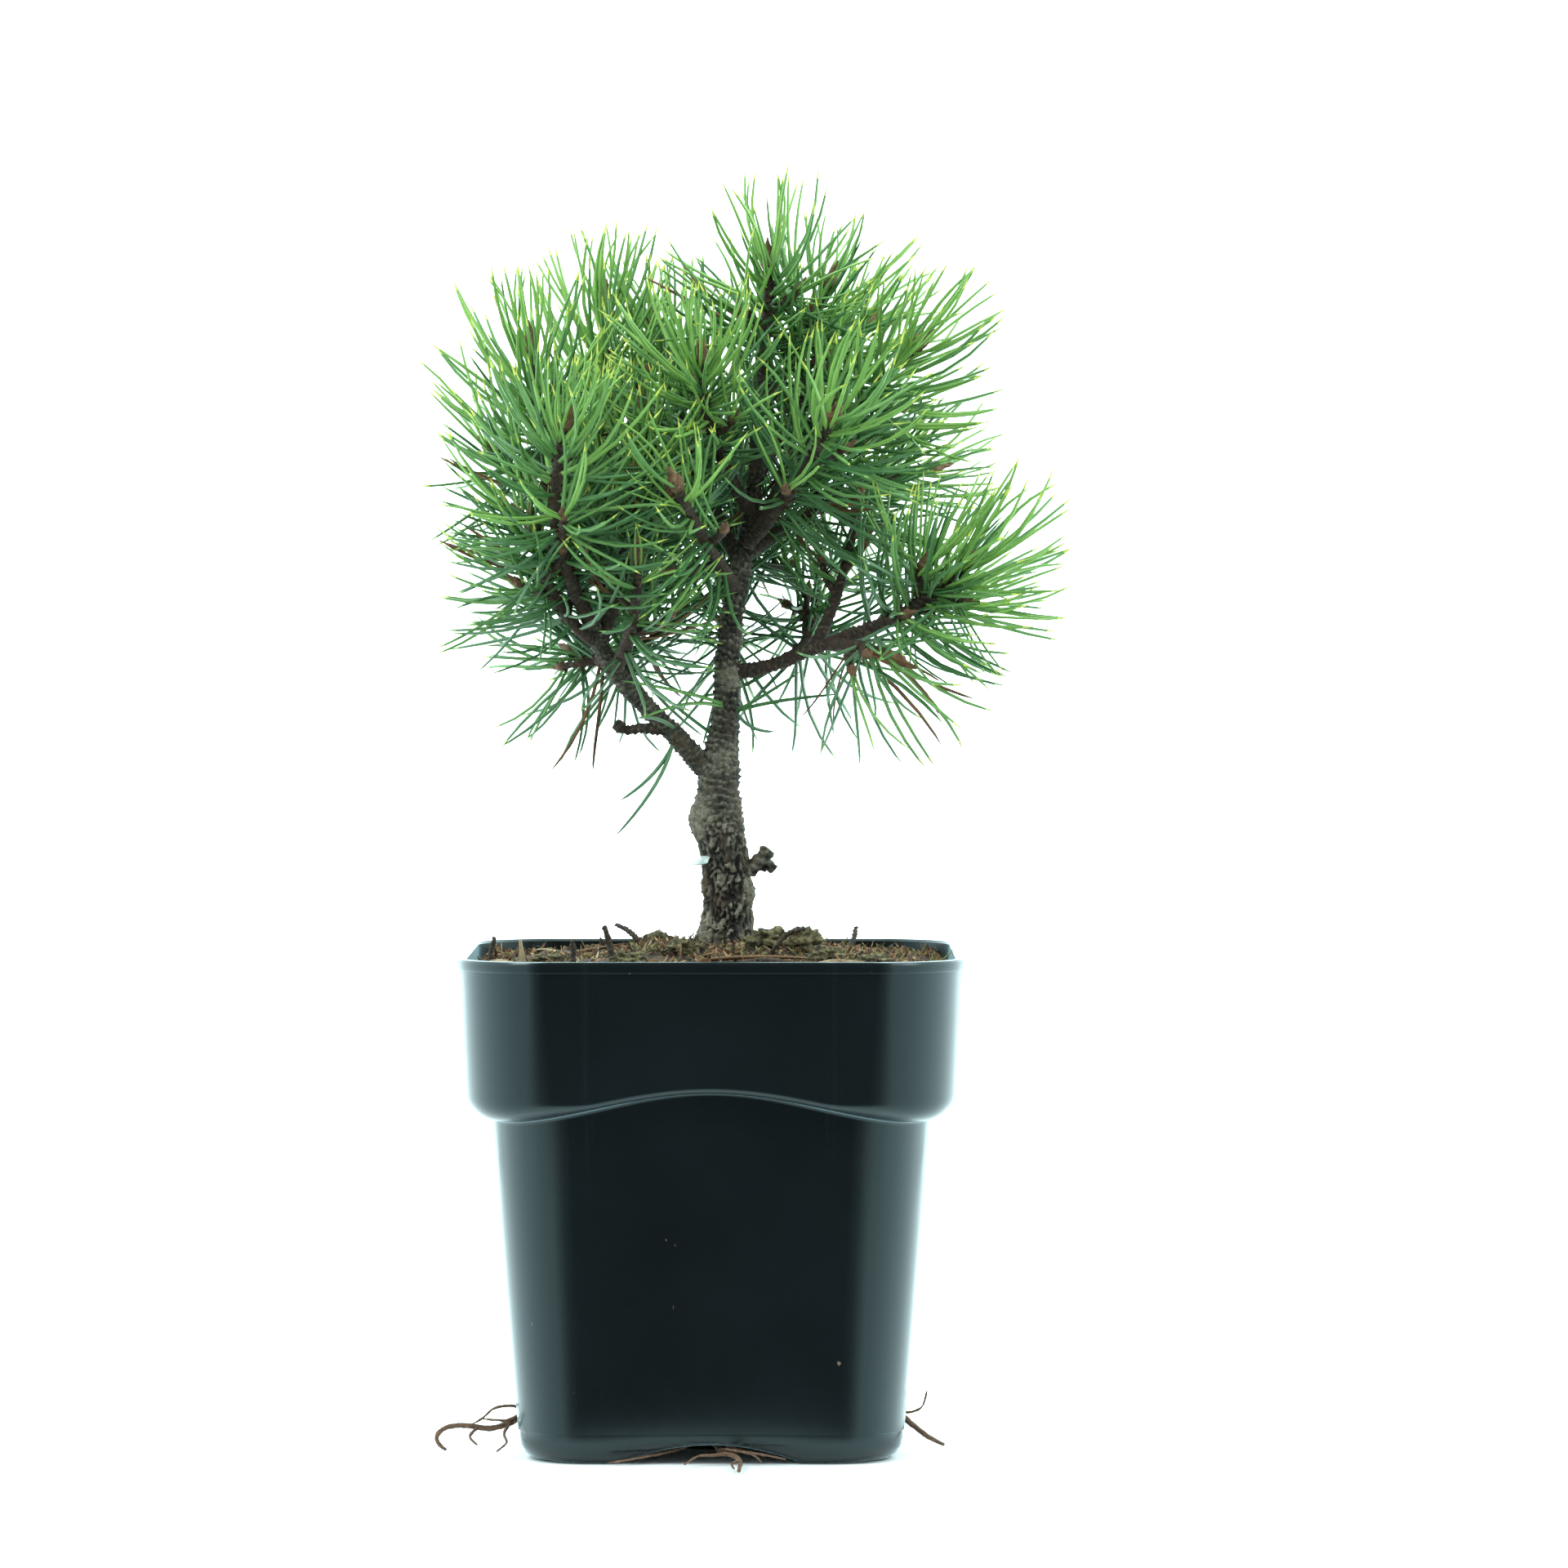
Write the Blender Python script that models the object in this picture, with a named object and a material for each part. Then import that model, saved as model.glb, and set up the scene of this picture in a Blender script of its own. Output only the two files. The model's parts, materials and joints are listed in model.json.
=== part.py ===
"""A young pine with needles in pairs, growing in a square nursery pot.

The frame has its origin under the middle of the pot, on the ground, with +Z up. The side that the pot
and the crown are described from is -Y, and +X is to its right. All sizes are in metres.
"""

import itertools
import math
import random

import bmesh
import bpy
import numpy as np
from mathutils import Matrix, Vector, noise
from mathutils.bvhtree import BVHTree

PART_NAME = "potted_pine"
GAP = 0.0003

# The pot: a square container with a wide band round its top
POT_HEIGHT = 0.150
RIM_WIDTH = 0.150
BAND_FOOT_WIDTH = 0.1455
BODY_TOP_WIDTH = 0.1305
BODY_FOOT_WIDTH = 0.1155
STANDING_WIDTH = 0.103
RIM_CORNER = 0.026
BODY_TOP_CORNER = 0.024
FOOT_CORNER = 0.019
WALL = 0.0015
LIP = 0.0007
LIP_HEIGHT = 0.0035
BAND_FOOT_HEIGHT = 0.1020
# The rounding of the band's lower edge: full at the corners and slight in the middle of each side
BAND_EDGE_CORNER = 0.0070
BAND_EDGE_MIDDLE = 0.0024
BAND_EDGE_BENDS = (60, 30, 0)
WAVE_RISE = 0.009
WAVE_REACH = 0.95
ROUNDING_HEIGHT = 0.010
FLOOR_HEIGHT = 0.0075
ARCH_HEIGHT = 0.0054
ARCH_REACH = 0.53
PAD_RADIUS = 0.014
DRAIN_RADIUS = 0.0045
DRAIN_SPREAD = 0.041
SLOT_WIDTH = 0.008
SLOT_HEIGHT = 0.004
SLOT_SPREAD = 0.030
SLOT_LEVEL = 0.0130
SIDE_STEPS = 8
CORNER_STEPS = 3

# The potting mix, mounded a little round the trunk
SOIL_EDGE_DROP = 0.0050
SOIL_MOUND_HEIGHT = 0.1517
SOIL_SEAT_RADIUS = 0.0125
SOIL_ROUGHNESS = 0.0011

# The trunk: its line as (x, y, z, radius), from the flat cut on the potting mix to the leading shoot
TRUNK_LINE = [
    (0.0045, 0.0000, 0.1520, 0.0092),
    (0.0045, 0.0000, 0.1545, 0.0080),
    (0.0045, 0.0000, 0.1600, 0.0072),
    (0.0038, -0.0010, 0.1780, 0.0068),
    (0.0020, 0.0000, 0.1900, 0.0070),
    (0.0024, 0.0000, 0.2070, 0.0058),
    (0.0040, 0.0000, 0.2200, 0.0043),
    (0.0050, 0.0000, 0.2430, 0.0039),
    (0.0086, 0.0020, 0.2650, 0.0035),
    (0.0128, 0.0060, 0.2890, 0.0029),
    (0.0143, 0.0060, 0.3250, 0.0021),
]
TRUNK_SIDES = 14
# Swellings of the trunk: where, how wide and how far they stand out
TRUNK_SWELLS = [
    ((-0.0050, -0.0010, 0.1890), 0.0100, 0.0024),
    ((0.0120, -0.0020, 0.1690), 0.0070, 0.0018),
    ((-0.0040, -0.0040, 0.1560), 0.0090, 0.0016),
    ((0.0110, 0.0060, 0.1600), 0.0090, 0.0016),
]
KNOB_LINE = [
    (0.0080, -0.0010, 0.1740, 0.0036),
    (0.0145, -0.0020, 0.1765, 0.0030),
    (0.0185, -0.0020, 0.1795, 0.0022),
]

# The boughs, as (x, y, z, radius). The left one turns upwards, so it is two limbs
LEFT_LOWER_LINE = [
    (0.0030, -0.0010, 0.2035, 0.0034),
    (-0.0060, -0.0020, 0.2095, 0.0032),
    (-0.0130, -0.0040, 0.2168, 0.0030),
    (-0.0205, -0.0060, 0.2246, 0.0028),
    (-0.0270, -0.0085, 0.2315, 0.0027),
]
LEFT_UPPER_LINE = [
    (-0.0270, -0.0085, 0.2315, 0.0027),
    (-0.0325, -0.0110, 0.2400, 0.0026),
    (-0.0366, -0.0140, 0.2490, 0.0024),
]
RIGHT_LINE = [
    (0.0050, 0.0000, 0.2330, 0.0020),
    (0.0100, -0.0010, 0.2345, 0.0022),
    (0.0190, -0.0030, 0.2367, 0.0020),
    (0.0280, -0.0050, 0.2400, 0.0018),
    (0.0400, -0.0085, 0.2448, 0.0017),
]
STUB_LINE = [
    (-0.0140, -0.0050, 0.2165, 0.0014),
    (-0.0205, -0.0060, 0.2172, 0.0014),
    (-0.0255, -0.0065, 0.2168, 0.0010),
    (-0.0290, -0.0065, 0.2185, 0.0007),
]
BOUGH_SIDES = 8

# The shoots that carry needles: the limb each one grows from, how far along that limb, its tip, how far
# its middle is bowed away from the straight line, the number of side twigs and the droop of its needles
SHOOTS = {
    "shoot_leader": ("trunk", 1.00, (0.017, -0.002, 0.357), (0.001, 0.000, 0.000), 0, 0.00),
    "shoot_beside_leader": ("trunk", 0.93, (0.035, 0.012, 0.351), (0.001, 0.001, -0.002), 0, 0.00),
    "shoot_right_top": ("trunk", 0.72, (0.062, 0.000, 0.333), (0.001, 0.004, 0.001), 1, 0.05),
    "shoot_right_back": ("trunk", 0.80, (0.047, 0.046, 0.341), (-0.002, 0.004, 0.001), 1, 0.00),
    "shoot_middle_front": ("trunk", 0.68, (0.036, -0.040, 0.310), (0.001, 0.002, -0.002), 1, 0.10),
    "shoot_inner": ("trunk", 0.74, (-0.003, -0.030, 0.328), (-0.004, -0.002, 0.001), 1, 0.00),
    "shoot_middle_back": ("trunk", 0.64, (-0.018, 0.050, 0.340), (-0.001, 0.006, -0.002), 1, 0.00),
    "shoot_back": ("trunk", 0.60, (0.010, 0.068, 0.300), (-0.001, 0.006, -0.004), 1, 0.15),
    "shoot_back_low": ("trunk", 0.50, (0.004, 0.050, 0.258), (0.000, 0.003, -0.004), 0, 0.30),
    "shoot_front_low": ("trunk", 0.60, (-0.010, -0.048, 0.290), (0.000, -0.003, -0.002), 1, 0.05),
    "shoot_left_front": ("left_bough_upper", 1.00, (-0.043, -0.050, 0.308), (-0.006, -0.002, 0.0), 1, 0.08),
    "shoot_left_outer": ("left_bough_upper", 0.70, (-0.053, -0.028, 0.277), (-0.003, 0.000, -0.004), 1, 0.15),
    "shoot_left_top": ("left_bough_upper", 0.80, (-0.055, 0.004, 0.332), (-0.004, 0.006, -0.001), 1, 0.05),
    "shoot_left_middle": ("left_bough_upper", 0.70, (-0.021, -0.006, 0.314), (0.004, 0.000, 0.002), 1, 0.00),
    "shoot_left_back": ("left_bough_upper", 0.56, (-0.033, 0.040, 0.346), (-0.001, 0.010, -0.004), 1, 0.00),
    "shoot_left_low": ("left_bough_upper", 0.46, (-0.042, 0.010, 0.240), (0.000, 0.002, -0.001), 0, 0.45),
    "shoot_left_inner": ("left_bough_upper", 0.30, (-0.022, -0.036, 0.268), (0.002, -0.003, -0.002), 0, 0.12),
    "shoot_left_rear": ("left_bough_lower", 0.92, (-0.020, 0.050, 0.274), (-0.004, 0.004, -0.004), 1, 0.20),
    "shoot_right_end": ("right_bough", 1.00, (0.085, -0.022, 0.278), (0.002, 0.000, -0.004), 1, 0.08),
    "shoot_right_low": ("right_bough", 0.86, (0.054, -0.026, 0.239), (0.001, -0.003, 0.001), 0, 0.45),
    "shoot_right_rising": ("right_bough", 0.72, (0.044, 0.004, 0.284), (0.001, 0.002, -0.003), 0, 0.15),
    "shoot_right_middle": ("trunk", 0.66, (0.066, 0.034, 0.296), (0.000, 0.002, 0.004), 1, 0.15),
    "shoot_right_rear": ("right_bough", 0.50, (0.032, 0.050, 0.264), (0.003, 0.004, -0.004), 1, 0.30),
}
STEM_SIDES_STEP = 0
TWIG_SIDES_STEP = 0
STEM_POINTS = 6
TWIG_POINTS = 3
STEM_FOOT_RADIUS = 0.0014
STEM_TIP_RADIUS = 0.0009
BUD_RADIUS = 0.0017
BUD_LENGTH = 0.007
BARE_SHARE = 0.14
TWIG_BARE_SHARE = 0.20
BUD_CLEAR = 0.010
TWIG_LENGTH_SHARE = 0.42
TWIG_SHORTEST = 0.015
TWIG_OUTWARD = 0.004
TWIG_RADIUS = 0.0010

# The sprays: a blade with four teeth on a slim foot, each tooth standing for several needles
NEEDLE_LENGTH = 0.040
SPRAY_TEETH = 4
SPRAYS_LEAST = 7
SPRAYS_PER_METRE = 116
SPRAY_TRIES = 5
SPRAY_FOOT_ANGLE = 76.0
SPRAY_TIP_ANGLE = 30.0
SPRAY_HEEL = 0.27
SPRAY_HEEL_WIDTH = 0.0018
SPRAY_NOTCH = 0.50
SPRAY_SPREAD = 13.0
SPRAY_THICKNESS = 0.0011
SPRAY_BEND = 0.14
SPRAY_SHORTER = (1.0, 0.82, 0.66, 0.52)
TOOTH_HALF_WIDTH = 0.0011
SPACE_OVERLAP = 0.010
LIMB_MARGIN = 0.0006
GOLDEN_ANGLE = math.radians(137.5)
SEED = 12

# Roots that come out of the drain slots and holes: their lines, thickest end first
ROOT_RADIUS = 0.0008
ROOT_LINES = {
    "drain_roots_left": [
        [
            (-0.0562, -0.030, 0.0130),
            (-0.0640, -0.031, 0.0135),
            (-0.0740, -0.032, 0.0115),
            (-0.0820, -0.033, 0.0085),
        ],
        [
            (-0.0625, -0.031, 0.0134),
            (-0.0670, -0.034, 0.0090),
            (-0.0710, -0.037, 0.0050),
            (-0.0745, -0.039, 0.0035),
        ],
    ],
    "drain_roots_right": [
        [
            (0.0562, -0.030, 0.0125),
            (0.0610, -0.031, 0.0105),
            (0.0660, -0.033, 0.0065),
            (0.0695, -0.034, 0.0055),
        ],
    ],
    "drain_roots_front": [
        [
            (0.0000, -0.0410, 0.0088),
            (0.0003, -0.0415, 0.0066),
            (0.0030, -0.0520, 0.0034),
            (0.0065, -0.0640, 0.0022),
            (0.0090, -0.0800, 0.0015),
        ],
        [(0.0055, -0.060, 0.0024), (0.0000, -0.066, 0.0022), (-0.0060, -0.070, 0.0016)],
    ],
}


def smooth_step(value):
    """0 below 0 and 1 above 1, with a soft change between."""
    value = min(max(value, 0.0), 1.0)
    return value * value * (3 - 2 * value)


def through_points(stations, steps):
    """Points on a smooth curve through the stations, which may have a radius as their fourth number."""
    stations = np.array(stations, float)
    padded = np.vstack([2 * stations[0] - stations[1], stations, 2 * stations[-1] - stations[-2]])
    line = []
    for index in range(1, len(padded) - 2):
        before, start, end, after = padded[index - 1 : index + 3]
        for t in np.linspace(0, 1, steps, endpoint=False):
            line.append(
                0.5
                * (
                    2 * start
                    + (end - before) * t
                    + (2 * before - 5 * start + 4 * end - after) * t**2
                    + (3 * start - before - 3 * end + after) * t**3
                )
            )
    line.append(stations[-1])
    return np.array(line)


def make_material(name, colour, roughness, metallic=0.0):
    material = bpy.data.materials.new(name)
    material.use_nodes = True
    shader = material.node_tree.nodes["Principled BSDF"]
    shader.inputs["Base Color"].default_value = (*colour, 1.0)
    shader.inputs["Roughness"].default_value = roughness
    shader.inputs["Metallic"].default_value = metallic
    return material


def new_object(name, mesh, collection, material=None):
    obj = bpy.data.objects.new(name, mesh)
    collection.objects.link(obj)
    if material:
        mesh.materials.clear()
        mesh.materials.append(material)
    return obj


def mesh_from(name, form):
    """A mesh from a finished bmesh, with its faces pointing out."""
    bmesh.ops.recalc_face_normals(form, faces=form.faces)
    mesh = bpy.data.meshes.new(name)
    form.to_mesh(mesh)
    form.free()
    return mesh


def evaluated_mesh(obj):
    """The object's mesh with its modifiers applied."""
    graph = bpy.context.evaluated_depsgraph_get()
    graph.update()
    return bpy.data.meshes.new_from_object(obj.evaluated_get(graph))


def weld(mesh):
    """Merges the points that lie together, such as those of a curve's caps."""
    form = bmesh.new()
    form.from_mesh(mesh)
    bmesh.ops.remove_doubles(form, verts=form.verts, dist=1e-7)
    form.to_mesh(mesh)
    form.free()


def tube_mesh(name, line, sides_step):
    """A tapering tube along points with radii. It has 4 sides, and 2 more for each sides_step."""
    curve = bpy.data.curves.new(name, "CURVE")
    curve.dimensions = "3D"
    curve.bevel_depth = 1.0
    curve.bevel_resolution = sides_step
    curve.use_fill_caps = True
    spline = curve.splines.new("POLY")
    spline.points.add(len(line) - 1)
    for point, (x, y, z, radius) in zip(spline.points, line):
        point.co = (x, y, z, 1.0)
        point.radius = radius
    guide = bpy.data.objects.new(name, curve)
    bpy.context.scene.collection.objects.link(guide)
    mesh = evaluated_mesh(guide)
    weld(mesh)
    bpy.data.objects.remove(guide)
    bpy.data.curves.remove(curve)
    return mesh


def join_solids(base, others, solver="EXACT"):
    """One Boolean union of base with the solids in others. Sealed hollows are filled and scraps dropped."""
    pieces = bpy.data.collections.new("pieces")
    bpy.context.scene.collection.children.link(pieces)
    for mesh in others:
        pieces.objects.link(bpy.data.objects.new("piece", mesh))
    union = base.modifiers.new("union", "BOOLEAN")
    union.operation = "UNION"
    union.operand_type = "COLLECTION"
    union.collection = pieces
    union.solver = solver
    joined = evaluated_mesh(base)
    base.modifiers.clear()
    for piece in list(pieces.objects):
        bpy.data.objects.remove(piece)
    bpy.data.collections.remove(pieces)
    keep_largest_body(joined)
    material = base.data.materials[0] if base.data.materials else None
    base.data = joined
    if material:
        joined.materials.clear()
        joined.materials.append(material)


def keep_largest_body(mesh):
    """Deletes every closed skin but the largest: what is left out is a sealed hollow or a scrap."""
    form = bmesh.new()
    form.from_mesh(mesh)
    unseen = set(form.faces)
    skins = []
    while unseen:
        skin = []
        reached = [unseen.pop()]
        while reached:
            face = reached.pop()
            skin.append(face)
            for edge in face.edges:
                if len(edge.link_faces) == 2:
                    for other in edge.link_faces:
                        if other in unseen:
                            unseen.discard(other)
                            reached.append(other)
        skins.append(skin)
    skins.sort(key=len)
    for skin in skins[:-1]:
        bmesh.ops.delete(form, geom=skin, context="FACES")
    form.to_mesh(mesh)
    form.free()


def pot_angles():
    """The directions of the pot's columns: even steps along each straight side and round each corner."""
    half = RIM_WIDTH / 2
    straight = half - RIM_CORNER
    angles = []
    for quarter in range(4):
        turn = quarter * math.pi / 2
        for step in range(SIDE_STEPS):
            y = straight * (2 * step / SIDE_STEPS - 1)
            angles.append(turn + math.atan2(y, half))
        for step in range(CORNER_STEPS):
            bend = step / CORNER_STEPS * math.pi / 2
            x = straight + RIM_CORNER * math.cos(bend)
            y = straight + RIM_CORNER * math.sin(bend)
            angles.append(turn + math.atan2(y, x))
    return angles


def side_place(angle):
    """How far a direction is from the middle of its side: 0 at the middle and 1 at the corner."""
    within = (angle + math.pi / 4) % (math.pi / 2) - math.pi / 4
    return abs(math.tan(within))


def square_reach(angle, half, corner):
    """How far a rounded square reaches in a direction."""
    within = abs((angle + math.pi / 4) % (math.pi / 2) - math.pi / 4)
    flat = half - corner
    if half * math.tan(within) <= flat:
        return half / math.cos(within)
    along = flat * (math.cos(within) + math.sin(within))
    return along + math.sqrt(max(along**2 - 2 * flat**2 + corner**2, 0.0))


def ring(half, corner, height, rise=None, inset=None):
    """One level of the pot, as points. rise and inset give each direction's extra height and inset."""
    points = []
    for angle in pot_angles():
        inwards = inset(angle) if inset else 0.0
        reach = square_reach(angle, half - inwards, corner - inwards)
        z = height + (rise(angle) if rise else 0.0)
        points.append((reach * math.cos(angle), reach * math.sin(angle), z))
    return points


def wave(angle):
    return WAVE_RISE * 0.5 * (1 + math.cos(math.pi * min(side_place(angle) / WAVE_REACH, 1.0)))


def arch(angle):
    return ARCH_HEIGHT * max(1 - (side_place(angle) / ARCH_REACH) ** 2, 0.0)


def band_edge(angle):
    share = smooth_step((side_place(angle) - 0.45) / 0.35)
    return BAND_EDGE_MIDDLE + share * (BAND_EDGE_CORNER - BAND_EDGE_MIDDLE)


def loft(rings):
    """A closed solid through rings with equal numbers of points. Its two ends are flat faces."""
    form = bmesh.new()
    levels = [[form.verts.new(point) for point in level] for level in rings]
    for lower, upper in zip(levels, levels[1:]):
        for index in range(len(lower)):
            following = (index + 1) % len(lower)
            form.faces.new((lower[index], lower[following], upper[following], upper[index]))
    form.faces.new(levels[0])
    form.faces.new(levels[-1])
    return form


def wall_levels(depth):
    """The levels of the pot's wall up to the foot of the lip, at a depth inside its outer face."""
    body = (BODY_TOP_WIDTH / 2 - depth, BODY_TOP_CORNER - depth)
    band = (BAND_FOOT_WIDTH / 2 - depth, RIM_CORNER - depth)
    underside = BAND_FOOT_HEIGHT + depth
    levels = [
        (BODY_FOOT_WIDTH / 2 - depth, FOOT_CORNER - depth, ROUNDING_HEIGHT, None),
        (*body, underside, wave),
    ]
    for bend in map(math.radians, BAND_EDGE_BENDS[:: 2 if depth else 1]):

        def rise(angle, bend=bend):
            return wave(angle) + (1 - math.sin(bend)) * (band_edge(angle) - depth)

        def inset(angle, bend=bend):
            return (1 - math.cos(bend)) * (band_edge(angle) - depth)

        levels.append((*band, underside, rise, inset))
    return levels


def build_pot(collection, material):
    half_rim = RIM_WIDTH / 2
    half_stand = STANDING_WIDTH / 2
    lip_foot = POT_HEIGHT - LIP_HEIGHT
    inner_foot = BODY_FOOT_WIDTH / 2 - WALL
    levels = [
        (PAD_RADIUS, PAD_RADIUS, 0.0, None),
        (PAD_RADIUS + 0.001, PAD_RADIUS + 0.001, FLOOR_HEIGHT, None),
        (half_stand - WALL - 0.001, FOOT_CORNER - WALL, FLOOR_HEIGHT, None),
        (half_stand - WALL, FOOT_CORNER - WALL, 0.0, arch),
        (half_stand, FOOT_CORNER, 0.0, arch),
        (BODY_FOOT_WIDTH / 2 - 0.0022, FOOT_CORNER, 0.0022, lambda angle: 0.75 * arch(angle)),
        (BODY_FOOT_WIDTH / 2 - 0.0005, FOOT_CORNER, 0.0065, lambda angle: 0.15 * arch(angle)),
        *wall_levels(0.0),
        (half_rim - LIP, RIM_CORNER, lip_foot, None),
        (half_rim, RIM_CORNER, lip_foot + LIP, None),
        (half_rim, RIM_CORNER, POT_HEIGHT - LIP, None),
        (half_rim - LIP, RIM_CORNER, POT_HEIGHT, None),
        (half_rim - LIP - WALL, RIM_CORNER - WALL, POT_HEIGHT, None),
        *reversed(wall_levels(WALL)),
        (inner_foot - 0.002, FOOT_CORNER - WALL, FLOOR_HEIGHT + WALL, None),
    ]
    form = loft([ring(*level) for level in levels])
    pot = new_object("pot", mesh_from("pot", form), collection, material)
    return pot


def cut_from(pot, form, name, cutters):
    """Cuts a finished bmesh out of the pot, as a live Boolean."""
    cutter = new_object(name, mesh_from(name, form), cutters)
    cutter.hide_render = True
    cutter.display_type = "WIRE"
    cut = pot.modifiers.new(name, "BOOLEAN")
    cut.operation = "DIFFERENCE"
    cut.object = cutter


def cut_drain_holes(pot, cutters):
    """Four round holes in the raised floor, and two slots low in each of the walls at -X and +X."""
    for index in range(4):
        angle = index * math.pi / 2
        form = bmesh.new()
        bmesh.ops.create_cone(
            form,
            segments=10,
            radius1=DRAIN_RADIUS,
            radius2=DRAIN_RADIUS,
            depth=4 * WALL,
            cap_ends=True,
            cap_tris=False,
            matrix=Matrix.Translation(
                (DRAIN_SPREAD * math.cos(angle), DRAIN_SPREAD * math.sin(angle), FLOOR_HEIGHT + WALL / 2)
            ),
        )
        cut_from(pot, form, f"drain_hole_{index + 1}", cutters)
    for index, (side, y) in enumerate(itertools.product((-1, 1), (-SLOT_SPREAD, SLOT_SPREAD))):
        form = bmesh.new()
        place = Matrix.Translation((side * BODY_FOOT_WIDTH / 2, y, SLOT_LEVEL))
        bmesh.ops.create_cube(form, matrix=place @ Matrix.Diagonal((8 * WALL, SLOT_WIDTH, SLOT_HEIGHT, 1.0)))
        cut_from(pot, form, f"drain_slot_{index + 1}", cutters)


def build_soil(collection, material):
    clear = WALL + 2 * GAP
    edge_height = POT_HEIGHT - SOIL_EDGE_DROP
    inner_corner = RIM_CORNER - clear
    rim_half = RIM_WIDTH / 2 - LIP - clear
    levels = [(BODY_FOOT_WIDTH / 2 - clear - 0.002, FOOT_CORNER - clear, FLOOR_HEIGHT + WALL + GAP, None)]
    levels += wall_levels(clear)
    wave_top = BAND_FOOT_HEIGHT + BAND_EDGE_CORNER + WAVE_RISE
    share = (edge_height - wave_top) / (POT_HEIGHT - wave_top)
    foot_half = BAND_FOOT_WIDTH / 2 - clear
    edge_half = foot_half + share * (rim_half - foot_half)
    levels.append((edge_half, inner_corner, edge_height, None))
    rings = [ring(*level) for level in levels]
    for shrink, rise in ((0.80, 0.30), (0.58, 0.42), (0.36, 0.72)):
        height = edge_height + rise * (SOIL_MOUND_HEIGHT - edge_height)
        level = []
        for x, y, z in ring(edge_half * shrink, inner_corner * shrink, height):
            bump = noise.noise(Vector((x, y, 0.0)) / 0.011) * SOIL_ROUGHNESS
            level.append((x, y, z + bump))
        rings.append(level)
    rings.append(ring(SOIL_SEAT_RADIUS, SOIL_SEAT_RADIUS, SOIL_MOUND_HEIGHT))
    return new_object("potting_mix", mesh_from("potting_mix", loft(rings)), collection, material)


def push_swells(mesh, line, swells):
    """Moves the limb's skin out from its line round each swelling."""
    axis = np.array(line)[:, :3]
    for vertex in mesh.vertices:
        if vertex.co.z < axis[0][2] + GAP:
            continue
        nearest = Vector(axis[np.argmin(((axis - np.array(vertex.co)) ** 2).sum(axis=1))])
        outward = vertex.co - nearest
        outward.z = 0.0
        if outward.length < 1e-6:
            continue
        for centre, width, push in swells:
            near = 1 - (vertex.co - Vector(centre)).length / width
            vertex.co += outward.normalized() * push * smooth_step(near)


class Limb:
    """A finished trunk, bough or stem: its name, its line with radii and a search tree of its skin."""

    def __init__(self, name, line, mesh):
        self.name = name
        self.line = np.array(line, float)
        form = bmesh.new()
        form.from_mesh(mesh)
        self.skin = BVHTree.FromBMesh(form)
        form.free()

    def at(self, share):
        """The point a share of the way along the line."""
        steps = np.linalg.norm(np.diff(self.line[:, :3], axis=0), axis=1)
        along = np.concatenate([[0.0], np.cumsum(steps)])
        return np.array([np.interp(share * along[-1], along, self.line[:, k]) for k in range(3)])

    def clearance(self, point):
        """The distance from the skin to a point, negative inside."""
        place, normal, _, distance = self.skin.find_nearest(Vector(point))
        inside = (Vector(point) - place).dot(normal) < -0.5 * distance
        return -distance if inside else distance


def disc_points(centre, direction, radius):
    """Points over a disc across a direction: its middle, a ring half way out and its edge."""
    direction = Vector(direction).normalized()
    side = direction.orthogonal().normalized()
    up = direction.cross(side)
    points = [Vector(centre)]
    for share in (0.5, 1.0):
        for step in range(12):
            turn = step * math.pi / 6
            edge = math.cos(turn) * side + math.sin(turn) * up
            points.append(Vector(centre) + edge * (share * float(radius)))
    return points


def start_clear(line, limbs):
    """The line cut off where its round end is just clear of the limbs that it grows from."""
    fine = through_points(line, 60)
    last_blocked = -1
    for index in range(len(fine) // 2):
        direction = fine[index + 1][:3] - fine[index][:3]
        ends = disc_points(fine[index][:3], direction, fine[index][3])
        if any(limb.clearance(point) < GAP for limb in limbs for point in ends):
            last_blocked = index
    clear = fine[last_blocked + 1 :]
    picks = np.linspace(0, len(clear) - 1, len(line)).round().astype(int)
    return clear[picks]


def build_limb(name, stations, sides_step, steps, collection, material, carriers=()):
    line = through_points(stations, steps)
    if carriers:
        line = start_clear(line, carriers)
    mesh = tube_mesh(name, line, sides_step)
    new_object(name, mesh, collection, material)
    return Limb(name, line, mesh)


def build_trunk(collection, material):
    line = through_points(TRUNK_LINE, 2)
    mesh = tube_mesh("trunk", line, (TRUNK_SIDES - 4) // 2)
    push_swells(mesh, line, TRUNK_SWELLS)
    trunk = new_object("trunk", mesh, collection, material)
    join_solids(trunk, [tube_mesh("knob", KNOB_LINE, 1)])
    return Limb("trunk", line, trunk.data)


def bowed_line(foot, tip, bow, radii, points):
    """A curve from foot to tip whose middle is moved by bow, with radii from foot to tip."""
    foot, tip, bow = np.array(foot), np.array(tip), np.array(bow)
    control = (foot + tip) / 2 + 2 * bow
    line = []
    for t in np.linspace(0, 1, points):
        point = (1 - t) ** 2 * foot + 2 * t * (1 - t) * control + t**2 * tip
        line.append((*point, radii[0] + (radii[1] - radii[0]) * t))
    return np.array(line)


def budded(line):
    """The line of a stem with its last stretch shaped as a bud, which ends at the stem's tip."""
    tip = line[-1][:3]
    heading = (tip - line[-2][:3]) / np.linalg.norm(tip - line[-2][:3])
    base = (*(tip - BUD_LENGTH * heading), line[-1][3])
    belly = (*(tip - 0.6 * BUD_LENGTH * heading), BUD_RADIUS)
    stem = [point for point in line[:-1] if np.linalg.norm(point[:3] - tip) > 1.3 * BUD_LENGTH]
    return np.array([*stem, base, belly, (*tip, BUD_RADIUS * 0.2)])


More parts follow.
